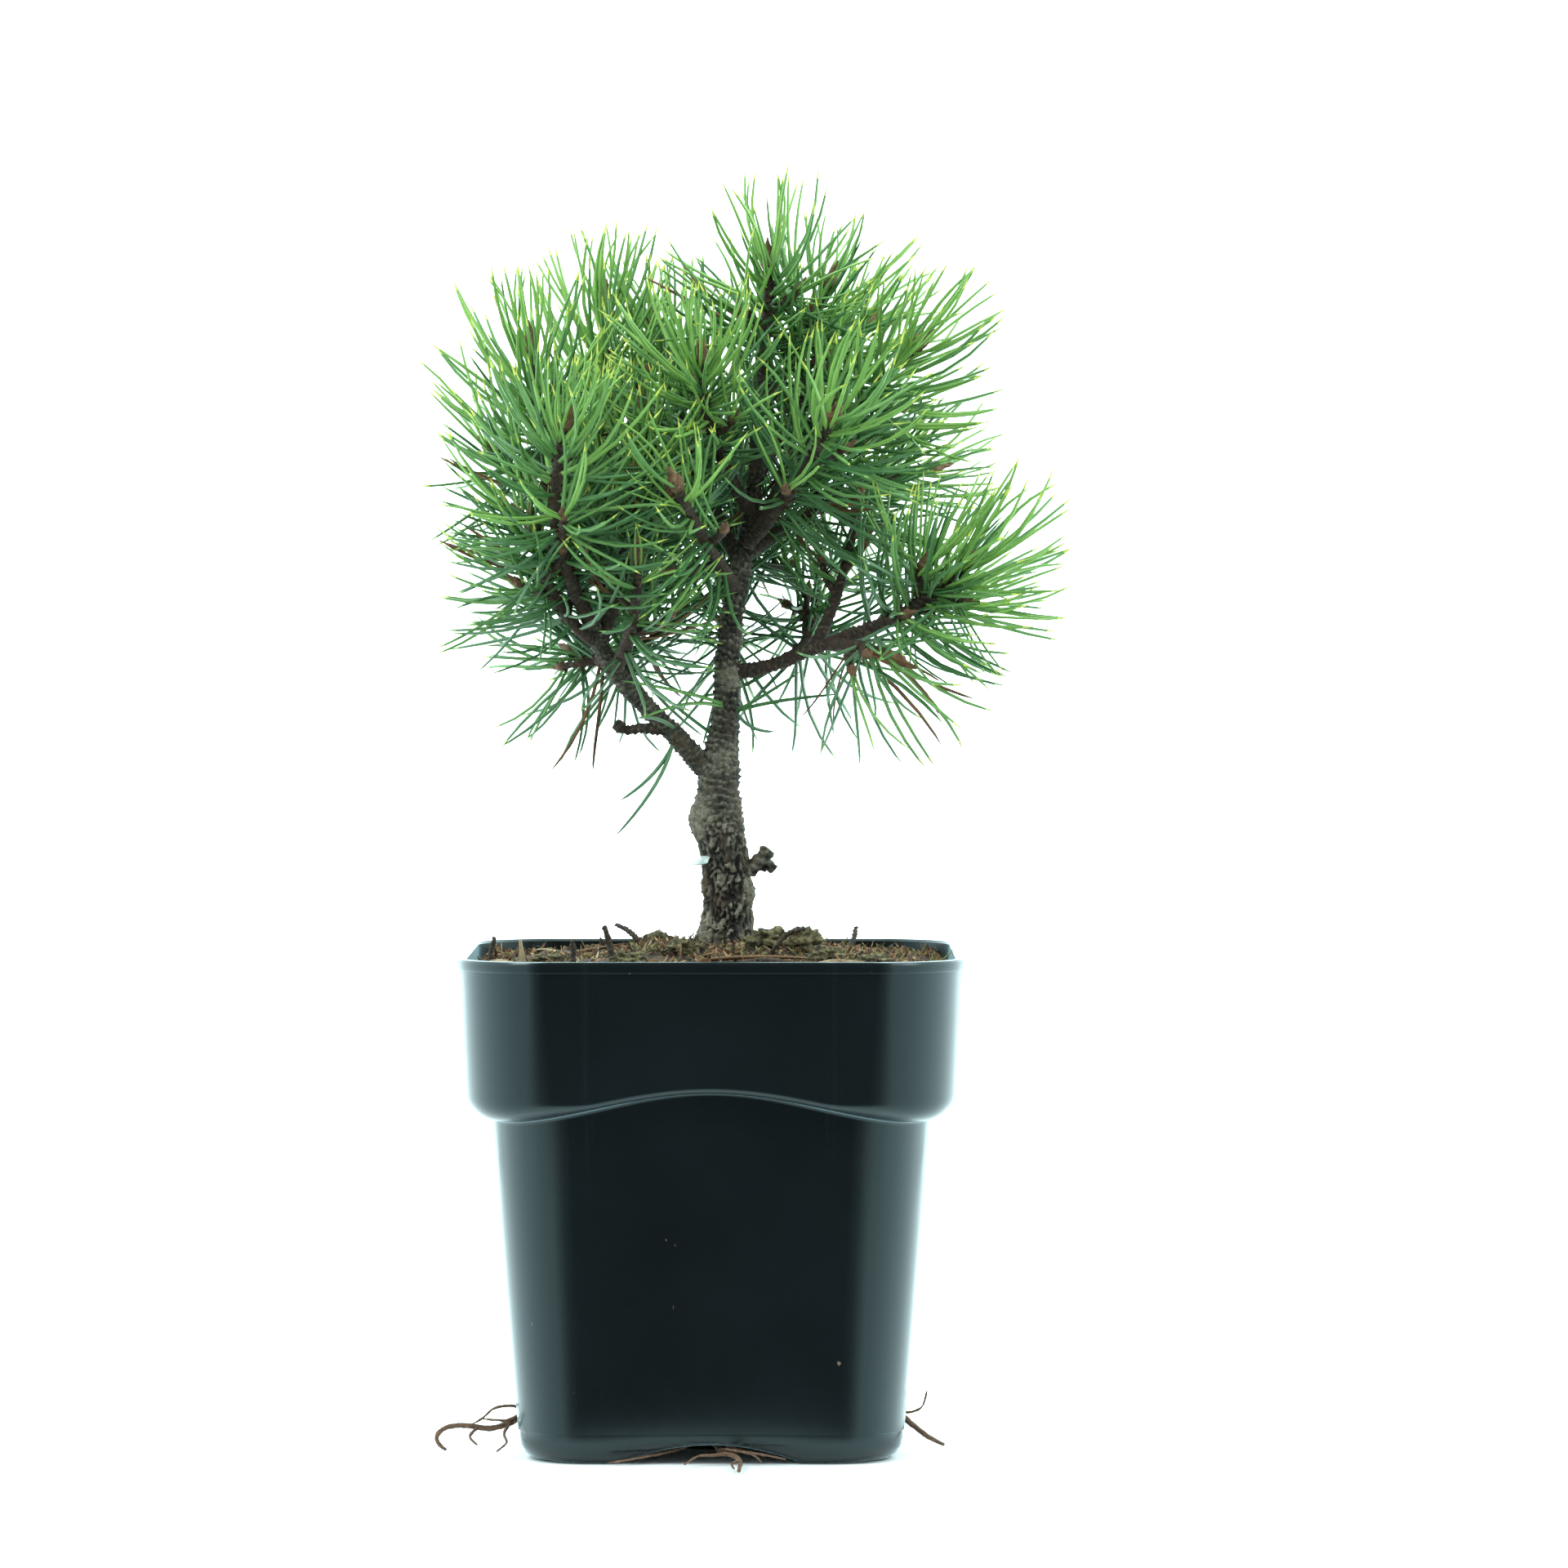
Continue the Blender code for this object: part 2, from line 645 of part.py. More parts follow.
def twig_lines(stem, count, others, chance):
    """Side twigs in turn round the stem. One that would leave the stem's space or the crown is skipped."""
    lines = []
    length = np.linalg.norm(stem[-1][:3] - stem[0][:3])
    first_turn = chance.uniform(0, 2 * math.pi)
    for index in range(count):
        share = 0.34 + 0.24 * index
        place = share * (len(stem) - 1)
        low = int(place)
        foot = stem[low][:3] + (place - low) * (stem[low + 1][:3] - stem[low][:3])
        along = Vector(stem[low + 1][:3] - stem[low][:3]).normalized()
        for attempt in range(6):
            turn = first_turn + (index + 0.37 * attempt) * GOLDEN_ANGLE
            side = Matrix.Rotation(turn, 3, along) @ along.orthogonal().normalized()
            opening = math.radians(chance.uniform(42, 56))
            heading = along * math.cos(opening) + side * math.sin(opening)
            reach = max(TWIG_LENGTH_SHARE * length * chance.uniform(0.85, 1.1), TWIG_SHORTEST)
            tip = foot + np.array(heading) * reach
            own = line_distance(tip[None], [stem])[0]
            outward = np.linalg.norm(tip[:2]) - np.linalg.norm(stem[-1][:2])
            if outward < TWIG_OUTWARD and line_distance(tip[None], others)[0] > own:
                bow = 0.06 * reach * (np.array(side) - np.array(along))
                lines.append(bowed_line(foot, tip, bow, (TWIG_RADIUS, STEM_TIP_RADIUS), TWIG_POINTS))
                break
    return lines


def line_distance(points, lines):
    """Each point's distance from the nearest of the lines, which are rows of x, y, z, radius."""
    best = np.full(len(points), np.inf)
    for line in lines:
        starts, ends = line[:-1, :3], line[1:, :3]
        run = ends - starts
        offset = points[:, None, :] - starts[None]
        share = np.clip((offset * run).sum(2) / np.maximum((run**2).sum(1), 1e-12), 0, 1)
        gap = np.linalg.norm(offset - share[..., None] * run[None], axis=2)
        best = np.minimum(best, gap.min(axis=1))
    return best


def segments_apart(starts, ends, other_starts, other_ends):
    """The distance between every two segments, and how far along each one its nearest point lies."""
    run = (ends - starts)[:, None, :]
    other_run = (other_ends - other_starts)[None, :, :]
    between = starts[:, None, :] - other_starts[None, :, :]
    run_run = (run * run).sum(2)
    other_other = np.maximum((other_run * other_run).sum(2), 1e-12)
    run_other = (run * other_run).sum(2)
    run_between = (run * between).sum(2)
    other_between = (other_run * between).sum(2)
    spread = np.maximum(run_run * other_other - run_other**2, 1e-18)
    share = np.clip((run_other * other_between - run_between * other_other) / spread, 0, 1)
    other_share = np.clip((run_other * share + other_between) / other_other, 0, 1)
    share = np.clip((run_other * other_share - run_between) / np.maximum(run_run, 1e-12), 0, 1)
    gap = np.linalg.norm(between + share[..., None] * run - other_share[..., None] * other_run, axis=2)
    return gap, share, other_share


def spray_form(foot, heading, forward, length, chance):
    """The points of one toothed blade: its rim, and the upper and lower points of its heel."""
    heading = heading.normalized()
    across = heading.orthogonal().normalized()
    across = Matrix.Rotation(chance.uniform(0, math.pi), 3, heading) @ across
    thick = across.cross(heading).normalized()
    bend = forward * SPRAY_BEND * length
    heel = foot + SPRAY_HEEL * length * heading
    rim = [foot, heel - across * SPRAY_HEEL_WIDTH / 2]
    middle = (SPRAY_TEETH - 1) / 2
    for index in range(SPRAY_TEETH):
        tilt = math.radians(SPRAY_SPREAD * (index - middle) + chance.uniform(-3, 3))
        reach = (1 - SPRAY_HEEL) * length * chance.uniform(0.90, 1.0)
        rim.append(heel + reach * (heading * math.cos(tilt) + across * math.sin(tilt)) + bend)
        if index < SPRAY_TEETH - 1:
            tilt = math.radians(SPRAY_SPREAD * (index + 0.5 - middle))
            reach = (SPRAY_NOTCH - SPRAY_HEEL) * length
            rim.append(heel + reach * (heading * math.cos(tilt) + across * math.sin(tilt)) + 0.2 * bend)
    rim.append(heel + across * SPRAY_HEEL_WIDTH / 2)
    return rim, [heel + thick * SPRAY_THICKNESS / 2, heel - thick * SPRAY_THICKNESS / 2]


def spray_mesh(rim, heels):
    form = bmesh.new()
    edge = [form.verts.new(point) for point in rim]
    upper, lower = (form.verts.new(point) for point in heels)
    for index, vertex in enumerate(edge):
        following = edge[(index + 1) % len(edge)]
        form.faces.new((vertex, following, upper))
        form.faces.new((following, vertex, lower))
    return mesh_from("spray", form)


class Mass:
    """One mass of needles: its stem and twigs, and the sprays that it has been given so far."""

    def __init__(self, name, lines, droop, chance):
        self.name = name
        self.lines = lines
        self.droop = droop
        self.chance = chance
        self.lengths = [np.linalg.norm(np.diff(line[:, :3], axis=0), axis=1).sum() for line in lines]
        self.wanted = int(SPRAYS_LEAST + SPRAYS_PER_METRE * sum(self.lengths))
        self.tries = 0
        self.forms = []
        self.starts = np.empty((0, 3))
        self.ends = np.empty((0, 3))

    def place(self):
        """The next foot of a spray, its heading and the way that its twig grows there."""
        self.tries += 1
        pick = self.chance.choices(range(len(self.lines)), self.lengths)[0]
        line, length = self.lines[pick], self.lengths[pick]
        bare = BARE_SHARE if pick == 0 else TWIG_BARE_SHARE
        ripe = (self.tries * math.sqrt(5) / 2 + self.chance.uniform(0, 0.1)) % 1.0
        share = bare + (1 - BUD_CLEAR / length - bare) * ripe
        steps = np.linalg.norm(np.diff(line[:, :3], axis=0), axis=1)
        along = np.concatenate([[0.0], np.cumsum(steps)])

        def point(distance):
            return Vector([np.interp(distance, along, line[:, k]) for k in range(3)])

        foot = point(share * length)
        forward = (point(share * length + 0.004) - point(share * length - 0.004)).normalized()
        opening = SPRAY_FOOT_ANGLE + (SPRAY_TIP_ANGLE - SPRAY_FOOT_ANGLE) * ripe
        opening = math.radians(opening + self.chance.uniform(-9, 9))
        turn = self.tries * GOLDEN_ANGLE
        side = Matrix.Rotation(turn, 3, forward) @ forward.orthogonal().normalized()
        heading = forward * math.cos(opening) + side * math.sin(opening)
        heading.z -= self.droop * (1 - 0.7 * ripe)
        return foot, heading, forward

    def add(self, rim, heels, starts, ends):
        self.forms.append((rim, heels))
        self.starts = np.vstack([self.starts, starts])
        self.ends = np.vstack([self.ends, ends])


def teeth_of(rim, heels):
    """The middle lines of a spray: from its foot to its heel, and from there to each tooth's tip."""
    heel = np.array((heels[0] + heels[1]) / 2)
    tips = np.array(rim[2:-1:2])
    starts = np.vstack([np.array(rim[0])[None], np.repeat(heel[None], len(tips), axis=0)])
    return starts, np.vstack([heel[None], tips])


def half_width(share):
    """Half the width of a tooth a share of the way to its tip."""
    return TOOTH_HALF_WIDTH * (1 - share) + 0.0001


def fits(starts, ends, mass, masses, limb_lines):
    """Whether a spray keeps to its own mass's space and stays clear of limbs and other masses."""
    others = [other for other in masses if other is not mass]
    tips = ends[1:]
    other_lines = [line for other in others for line in other.lines]
    if (line_distance(tips, mass.lines) > line_distance(tips, other_lines) + 2 * SPACE_OVERLAP).any():
        return False
    for line in limb_lines + other_lines:
        gap, share, other_share = segments_apart(starts, ends, line[:-1, :3], line[1:, :3])
        radius = line[:-1, 3] + other_share * (line[1:, 3] - line[:-1, 3])
        if (gap - radius < half_width(share) + LIMB_MARGIN).any():
            return False
    other_starts = np.vstack([other.starts for other in others])
    other_ends = np.vstack([other.ends for other in others])
    if len(other_starts) == 0:
        return True
    gap, share, other_share = segments_apart(starts, ends, other_starts, other_ends)
    return not (gap < half_width(share) + half_width(other_share) + GAP).any()


def add_spray(mass, masses, limb_lines):
    """Gives a mass its next spray, shortened where it must be, or skips it."""
    foot, heading, forward = mass.place()
    seed = mass.chance.random()
    for shorter in SPRAY_SHORTER:
        rim, heels = spray_form(foot, heading, forward, NEEDLE_LENGTH * shorter, random.Random(seed))
        starts, ends = teeth_of(rim, heels)
        if fits(starts, ends, mass, masses, limb_lines):
            mass.add(rim, heels, starts, ends)
            return


def grow_stems(limbs):
    """The line of each mass's stem, each starting just clear of the limb that it grows from."""
    by_name = {limb.name: limb for limb in limbs}
    stems = {}
    for name, (carrier, share, tip, bow, _, _) in SHOOTS.items():
        foot = by_name[carrier].at(share)
        line = bowed_line(foot, tip, bow, (STEM_FOOT_RADIUS, STEM_TIP_RADIUS), STEM_POINTS)
        stems[name] = budded(start_clear(line, [by_name[carrier]]))
    return stems


def build_crown(limbs, collection, material):
    chance = random.Random(SEED)
    stems = grow_stems(limbs)
    masses = []
    for name, stem in stems.items():
        others = [other for key, other in stems.items() if key != name]
        twigs = [budded(line) for line in twig_lines(stem, SHOOTS[name][4], others, chance)]
        masses.append(Mass(name, [stem, *twigs], SHOOTS[name][5], random.Random(chance.random())))
    limb_lines = [limb.line for limb in limbs]
    for _ in range(SPRAY_TRIES * max(mass.wanted for mass in masses)):
        for mass in masses:
            if len(mass.forms) < mass.wanted and mass.tries < SPRAY_TRIES * mass.wanted:
                add_spray(mass, masses, limb_lines)
    for mass in masses:
        stem, *twigs = mass.lines
        pieces = [tube_mesh("twig", line, TWIG_SIDES_STEP) for line in twigs]
        pieces += [spray_mesh(*form) for form in mass.forms]
        obj = new_object(mass.name, tube_mesh(mass.name, stem, STEM_SIDES_STEP), collection, material)
        join_solids(obj, pieces, "MANIFOLD")
        print(mass.name, len(mass.forms), "of", mass.wanted, "sprays,", len(obj.data.polygons), "faces")


def build_drain_roots(collection, material):
    for name, lines in ROOT_LINES.items():
        meshes = []
        for line in lines:
            radii = np.linspace(ROOT_RADIUS, 0.5 * ROOT_RADIUS, len(line))
            meshes.append(tube_mesh(name, through_points([(*p, r) for p, r in zip(line, radii)], 2), 0))
        roots = new_object(name, meshes[0], collection, material)
        if len(meshes) > 1:
            join_solids(roots, meshes[1:])


def main():
    for obj in list(bpy.data.objects):
        bpy.data.objects.remove(obj)
    parts = bpy.data.collections.new(PART_NAME)
    cutters = bpy.data.collections.new("cutters")
    for collection in (parts, cutters):
        bpy.context.scene.collection.children.link(collection)

    plastic = make_material("dark_slate_plastic", (0.020, 0.028, 0.034), 0.42)
    mix = make_material("potting_mix", (0.055, 0.034, 0.020), 0.95)
    bark = make_material("pine_bark", (0.110, 0.080, 0.055), 0.90)
    twig_bark = make_material("twig_bark", (0.075, 0.045, 0.025), 0.85)
    needles = make_material("pine_needles", (0.045, 0.120, 0.022), 0.55)
    root = make_material("root", (0.160, 0.110, 0.070), 0.85)

    pot = build_pot(parts, plastic)
    cut_drain_holes(pot, cutters)
    build_soil(parts, mix)

    trunk = build_trunk(parts, bark)
    left_lower = build_limb("left_bough_lower", LEFT_LOWER_LINE, 2, 2, parts, bark, [trunk])
    left_upper = build_limb("left_bough_upper", LEFT_UPPER_LINE, 2, 2, parts, bark, [left_lower])
    right = build_limb("right_bough", RIGHT_LINE, 2, 2, parts, bark, [trunk])
    stub = build_limb("dead_stub", STUB_LINE, 1, 2, parts, twig_bark, [left_lower])
    build_crown([trunk, left_lower, left_upper, right, stub], parts, needles)
    build_drain_roots(parts, root)


main()
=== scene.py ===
# %% [markdown]
# # A young pine in a square nursery pot
#
# The CAD model holds the pot, the potting mix, the trunk with its boughs and one solid for each shoot. This
# lesson dresses it for a close view. Bark gets real relief, the shoots become twigs with needles in pairs,
# and the plastic pot gets the moulding lines that show how it was made. Everything is in metres, with +Z up,
# in the CAD model's own frame, so a piece goes exactly where the solid it stands for is.

# %% Load the frame
import json
import math
import random

import bmesh
import bpy
import numpy as np
from mathutils import Matrix, Vector, noise

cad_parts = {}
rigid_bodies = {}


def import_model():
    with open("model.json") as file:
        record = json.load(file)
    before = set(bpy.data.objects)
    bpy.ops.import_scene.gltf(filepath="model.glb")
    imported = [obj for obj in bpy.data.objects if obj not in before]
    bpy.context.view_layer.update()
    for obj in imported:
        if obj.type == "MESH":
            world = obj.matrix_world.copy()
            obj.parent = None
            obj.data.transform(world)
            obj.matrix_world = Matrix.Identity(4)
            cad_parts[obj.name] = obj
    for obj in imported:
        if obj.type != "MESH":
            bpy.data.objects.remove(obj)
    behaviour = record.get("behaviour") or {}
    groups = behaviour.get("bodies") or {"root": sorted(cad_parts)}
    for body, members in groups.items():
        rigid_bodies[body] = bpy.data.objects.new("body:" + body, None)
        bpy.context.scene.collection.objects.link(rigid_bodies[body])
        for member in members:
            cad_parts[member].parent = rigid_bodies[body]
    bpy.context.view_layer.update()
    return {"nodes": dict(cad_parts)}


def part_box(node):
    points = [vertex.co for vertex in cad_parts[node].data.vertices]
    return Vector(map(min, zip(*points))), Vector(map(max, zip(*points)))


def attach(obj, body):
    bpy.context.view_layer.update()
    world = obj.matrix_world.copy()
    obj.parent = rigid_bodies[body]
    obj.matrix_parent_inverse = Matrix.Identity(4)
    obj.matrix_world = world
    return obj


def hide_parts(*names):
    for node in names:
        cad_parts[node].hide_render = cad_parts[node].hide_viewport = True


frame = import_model()
mm = 0.001
SHOOT_NODES = sorted(name for name in frame["nodes"] if name.startswith("shoot_"))


def metres(table):
    """A table written in millimetres, in metres."""
    return np.array(table, float) * mm


print("CAD model:", len(frame["nodes"]), "nodes,", len(SHOOT_NODES), "of them shoots")

# %% [markdown]
# ## Camera, floor and light
#
# A long lens from over two metres away flattens the view, as in a catalogue picture. The plant stands on a
# white card in a white tent, which is the world's own light and is brightest behind the plant. The pot
# is nearly black and glossy, so what shapes it is what it mirrors. A black card round the front, which the
# camera doesn't see, keeps its flat front dark and fades to grey at its sides, so that the pot's rounded
# corners brighten by degrees. The floor card is small, because the leaning walls mirror it.

# %% Camera
FOCAL_LENGTH = 178.1
SENSOR_WIDTH = 36.0
CAMERA_PLACE = (0.0217, -2.347, 0.2634)
CAMERA_DIP = math.radians(1.54)

camera_data = bpy.data.cameras.new("camera")
camera_data.lens = FOCAL_LENGTH
camera_data.sensor_width = SENSOR_WIDTH
camera = bpy.data.objects.new("camera", camera_data)
camera.location = CAMERA_PLACE
camera.rotation_euler = (math.pi / 2 - CAMERA_DIP, 0.0, 0.0)
bpy.context.scene.collection.objects.link(camera)
bpy.context.scene.camera = camera
print("camera with a", FOCAL_LENGTH, "mm lens,", round(-CAMERA_PLACE[1], 2), "m in front of the pot")


# %% Nodes in a few words
def add(tree, kind, wires=None, **settings):
    """Adds a node. wires gives its inputs by name or number: a value to set, or a socket to link."""
    node = tree.nodes.new(kind)
    for key, value in settings.items():
        setattr(node, key, value)
    for key, value in (wires or {}).items():
        if isinstance(value, bpy.types.NodeSocket):
            tree.links.new(value, node.inputs[key])
        else:
            node.inputs[key].default_value = value
    return node


def new_finish(name, roughness, colour=(0.5, 0.5, 0.5)):
    """A material with a plain Principled shader, and its node tree and shader to build on."""
    material = bpy.data.materials.new(name)
    material.use_nodes = True
    tree = material.node_tree
    shader = tree.nodes["Principled BSDF"]
    shader.inputs["Roughness"].default_value = roughness
    shader.inputs["Base Color"].default_value = (*colour, 1.0)
    return material, tree, shader


def ramp(tree, factor, stops):
    """A colour ramp on a factor, from stops of (place, colour)."""
    node = add(tree, "ShaderNodeValToRGB", {"Fac": factor})
    elements = node.color_ramp.elements
    while len(elements) < len(stops):
        elements.new(0.5)
    for element, (place, colour) in zip(elements, stops):
        element.position = place
        element.color = (*colour, 1.0)
    return node.outputs["Color"]


def object_noise(tree, size, detail=4.0, roughness=0.55, stretch=(1.0, 1.0, 1.0)):
    """Noise on Object coordinates, its features about size metres. A stretch under 1 draws it out."""
    place = add(tree, "ShaderNodeTexCoord").outputs["Object"]
    if stretch != (1.0, 1.0, 1.0):
        place = add(tree, "ShaderNodeMapping", {"Vector": place, "Scale": stretch}).outputs["Vector"]
    wires = {"Vector": place, "Scale": 1.0 / size, "Detail": detail, "Roughness": roughness}
    return add(tree, "ShaderNodeTexNoise", wires).outputs["Fac"]


def map_range(tree, value, low=0.0, high=1.0, to_low=0.0, to_high=1.0):
    wires = {"Value": value, "From Min": low, "From Max": high, "To Min": to_low, "To Max": to_high}
    return add(tree, "ShaderNodeMapRange", wires).outputs["Result"]


def blend(tree, factor, below, above):
    """A colour between two. The colour inputs of a mix node are its numbers 6 and 7."""
    return add(tree, "ShaderNodeMix", {"Factor": factor, 6: below, 7: above}, data_type="RGBA").outputs[2]


def paint(tree, shader, colour):
    tree.links.new(colour, shader.inputs["Base Color"])


def bump(tree, shader, height, distance, strength):
    wires = {"Height": height, "Distance": distance, "Strength": strength}
    tree.links.new(add(tree, "ShaderNodeBump", wires).outputs["Normal"], shader.inputs["Normal"])


def mottled(name, roughness, drift, stops, pits):
    """A finish that drifts between colours. pits is finer noise, and ends in its depth and its strength."""
    material, tree, shader = new_finish(name, roughness)
    paint(tree, shader, ramp(tree, object_noise(tree, *drift), stops))
    bump(tree, shader, object_noise(tree, *pits[:-2]), *pits[-2:])
    return material, shader


print("node helpers ready")


# %% Objects from points and faces
def new_piece(name, mesh, finishes, slot=None):
    """A piece at the origin, its place in its mesh, that rides with the plant when a slot is given."""
    piece = bpy.data.objects.new(name, mesh)
    bpy.context.scene.collection.objects.link(piece)
    for finish in finishes:
        mesh.materials.append(finish)
    if slot:
        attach(piece, "root")
    return piece


def ring_faces(levels, count):
    """Quads between neighbouring rings of count points each."""
    return [(low + step, low + (step + 1) % count, low + count + (step + 1) % count, low + count + step)
            for low in range(0, (levels - 1) * count, count) for step in range(count)]


class Skin:
    """Collects points and faces, and turns them into one mesh. zones give each face its material."""

    def __init__(self):
        self.points, self.faces, self.zones, self.values = [], [], [], []

    def add(self, points, faces, zones=0, values=None):
        base = len(self.points)
        self.points += [tuple(point) for point in points]
        self.faces += [tuple(base + index for index in face) for face in faces]
        self.zones += [zones] * len(faces) if isinstance(zones, int) else list(zones)
        self.values += list(values) if values is not None else [0.0] * len(points)

    def mesh(self, name):
        mesh = bpy.data.meshes.new(name)
        mesh.from_pydata(self.points, [], self.faces)
        mesh.polygons.foreach_set("material_index", self.zones)
        mesh.polygons.foreach_set("use_smooth", [True] * len(self.faces))
        relief = mesh.attributes.new("relief", "FLOAT", "POINT")
        relief.data.foreach_set("value", np.array(self.values, np.float32))
        mesh.update()
        return mesh

    def piece(self, name, finish, slot=None):
        return new_piece(name, self.mesh(name), [finish], slot)


print("piece helpers ready")

# %% Floor and light
FLOOR_RADIUS, FLOOR_SIDES = 0.095, 48
FLAG_DISTANCE, FLAG_TURN, FLAG_FOOT, FLAG_TOP = 1.5, math.radians(38), -1.2, 1.6
FLAG_BENDS = 17
FLAG_BLACK_TO = 0.13
FLAG_GREYS = ((0.0, 0.008), (0.45, 0.10), (1.0, 0.50))
TENT_COLOUR, TENT_GLOW, TENT_SPAN = (0.80, 0.98, 1.0, 1.0), (1.30, 3.70), (-0.80, 0.60)
LAMP_SIZE, LAMP_AIM = 0.7, Vector((0.0, 0.0, 0.24))

bpy.context.scene.view_settings.view_transform = "Standard"
white_card, _, _ = new_finish("white_card", 0.9, (0.90, 0.92, 0.92))
black_card, tree, shader = new_finish("black_card", 1.0)
place = add(tree, "ShaderNodeTexCoord").outputs["Object"]
across = add(tree, "ShaderNodeSeparateXYZ", {0: place}).outputs["X"]
aside = add(tree, "ShaderNodeMath", {0: across}, operation="ABSOLUTE").outputs[0]
fade = map_range(tree, aside, FLAG_BLACK_TO, FLAG_DISTANCE * math.sin(FLAG_TURN))
paint(tree, shader, ramp(tree, fade, [(stop, (grey,) * 3) for stop, grey in FLAG_GREYS]))

floor = Skin()
turns = [step / FLOOR_SIDES * 2 * math.pi for step in range(FLOOR_SIDES)]
floor.add([(FLOOR_RADIUS * math.cos(turn), FLOOR_RADIUS * math.sin(turn), 0.0) for turn in turns],
          [range(FLOOR_SIDES)])
floor.piece("floor", white_card)

flag = Skin()
bends = [FLAG_TURN * (2 * step / (FLAG_BENDS - 1) - 1) for step in range(FLAG_BENDS)]
flag.add([(FLAG_DISTANCE * math.sin(bend), -FLAG_DISTANCE * math.cos(bend), height)
          for height in (FLAG_FOOT, FLAG_TOP) for bend in bends],
         [(step, step + 1, step + 1 + FLAG_BENDS, step + FLAG_BENDS) for step in range(FLAG_BENDS - 1)])
black_flag = flag.piece("black_flag", black_card)
black_flag.visible_camera = False

world = bpy.data.worlds.new("white_tent")
world.use_nodes = True
tent = world.node_tree
heading = add(tent, "ShaderNodeTexCoord").outputs["Generated"]
behind = add(tent, "ShaderNodeSeparateXYZ", {0: heading}).outputs["Y"]
background = tent.nodes["Background"].inputs
background["Color"].default_value = TENT_COLOUR
tent.links.new(map_range(tent, behind, *TENT_SPAN, *TENT_GLOW), background["Strength"])
bpy.context.scene.world = world


def softbox(name, place, power):
    """A square area light that faces the middle of the plant."""
    light = bpy.data.lights.new(name, "AREA")
    light.shape, light.size, light.energy = "SQUARE", LAMP_SIZE, power
    lamp = bpy.data.objects.new(name, light)
    lamp.location = place
    lamp.rotation_euler = (LAMP_AIM - Vector(place)).to_track_quat("-Z", "Y").to_euler()
    bpy.context.scene.collection.objects.link(lamp)


softbox("key_softbox", (-0.9, -1.2, 1.5), 22.0)
softbox("fill_softbox", (1.1, -1.0, 1.2), 8.0)
print("floor, black flag, white tent and two softboxes ready")

# %% [markdown]
# ## The pot
#
# A real nursery pot is blown or injected in one shot of thin plastic. Its walls taper so that pots come out
# of the mould and nest. A deep band stiffens the top, and its lower edge rises in a shallow wave on each
# side. It could be cut from a box with Booleans, but a loft through rings keeps every edge where a mould
# would have it. Each ring is a rounded square, and two rules bend rings up: the wave under the band, and
# the arch that lets water out below. The same named sizes as the CAD model's place it.

# %% Pot sizes
POT_HEIGHT = 0.150
RIM_WIDTH = 0.150
BAND_FOOT_WIDTH = 0.1455
BODY_TOP_WIDTH = 0.1305
BODY_FOOT_WIDTH = 0.1155
STANDING_WIDTH = 0.103
RIM_CORNER, BODY_TOP_CORNER, FOOT_CORNER = 0.026, 0.024, 0.019
WALL = 0.0015
LIP, LIP_HEIGHT = 0.0007, 0.0035
BAND_FOOT_HEIGHT = 0.1020
BAND_EDGE_CORNER, BAND_EDGE_MIDDLE = 0.0070, 0.0024
WAVE_RISE, WAVE_REACH = 0.009, 0.95
FLOOR_HEIGHT = 0.0075
ARCH_HEIGHT, ARCH_REACH = 0.0054, 0.53
PAD_RADIUS = 0.014
RING_LINE_HEIGHT = 0.0088
BODY_FOOT_HEIGHT = 0.0105
SIDE_STEPS, CORNER_STEPS = 96, 16


# %% Rounded squares
def soft(value):
    value = min(max(value, 0.0), 1.0)
    return value * value * (3 - 2 * value)


def pot_angles():
    """The directions of the pot's columns: even steps along each straight side and round each corner."""
    half, straight = RIM_WIDTH / 2, RIM_WIDTH / 2 - RIM_CORNER
    angles = []
    for turn in (quarter * math.pi / 2 for quarter in range(4)):
        sides = [straight * (2 * step / SIDE_STEPS - 1) for step in range(SIDE_STEPS)]
        angles += [turn + math.atan2(y, half) for y in sides]
        for bend in (step / CORNER_STEPS * math.pi / 2 for step in range(CORNER_STEPS)):
            x, y = straight + RIM_CORNER * math.cos(bend), straight + RIM_CORNER * math.sin(bend)
            angles.append(turn + math.atan2(y, x))
    return angles


def within_side(angle):
    return (angle + math.pi / 4) % (math.pi / 2) - math.pi / 4


def square_reach(angle, half, corner):
    """How far a rounded square reaches in a direction."""
    within = abs(within_side(angle))
    flat = half - corner
    if half * math.tan(within) <= flat:
        return half / math.cos(within)
    along = flat * (math.cos(within) + math.sin(within))
    return along + math.sqrt(max(along**2 - 2 * flat**2 + corner**2, 0.0))


def wave(angle):
    place = min(abs(math.tan(within_side(angle))) / WAVE_REACH, 1.0)
    return WAVE_RISE * 0.5 * (1 + math.cos(math.pi * place))


def arch(angle):
    return ARCH_HEIGHT * max(1 - (math.tan(within_side(angle)) / ARCH_REACH) ** 2, 0.0)


def band_edge(angle):
    """The rounding of the band's lower edge: full at the corners and slight in the middle of each side."""
    share = soft((abs(math.tan(within_side(angle))) - 0.45) / 0.35)
    return BAND_EDGE_MIDDLE + share * (BAND_EDGE_CORNER - BAND_EDGE_MIDDLE)


print(len(pot_angles()), "columns round the pot")

# %% [markdown]
# The mould was made in parts, and the plastic shows where they met. Two upright lines cross the band on
# each side. Beside each of them stands a soft ridge, where the side meets its corner, and a step runs round
# the foot. They stand out by a few tenths of a millimetre at most, so they are pushed out of the wall here,
# column by column.

# %% Pot wall
SEAM_FOOT = BAND_FOOT_HEIGHT - 0.012
SEAM_PLACE, SEAM_WIDTH, SEAM_PUSH = 0.0355, 0.0011, 0.00016
RIDGE_PLACE, RIDGE_WIDTH, RIDGE_PUSH = 0.0515, 0.0016, 0.00036
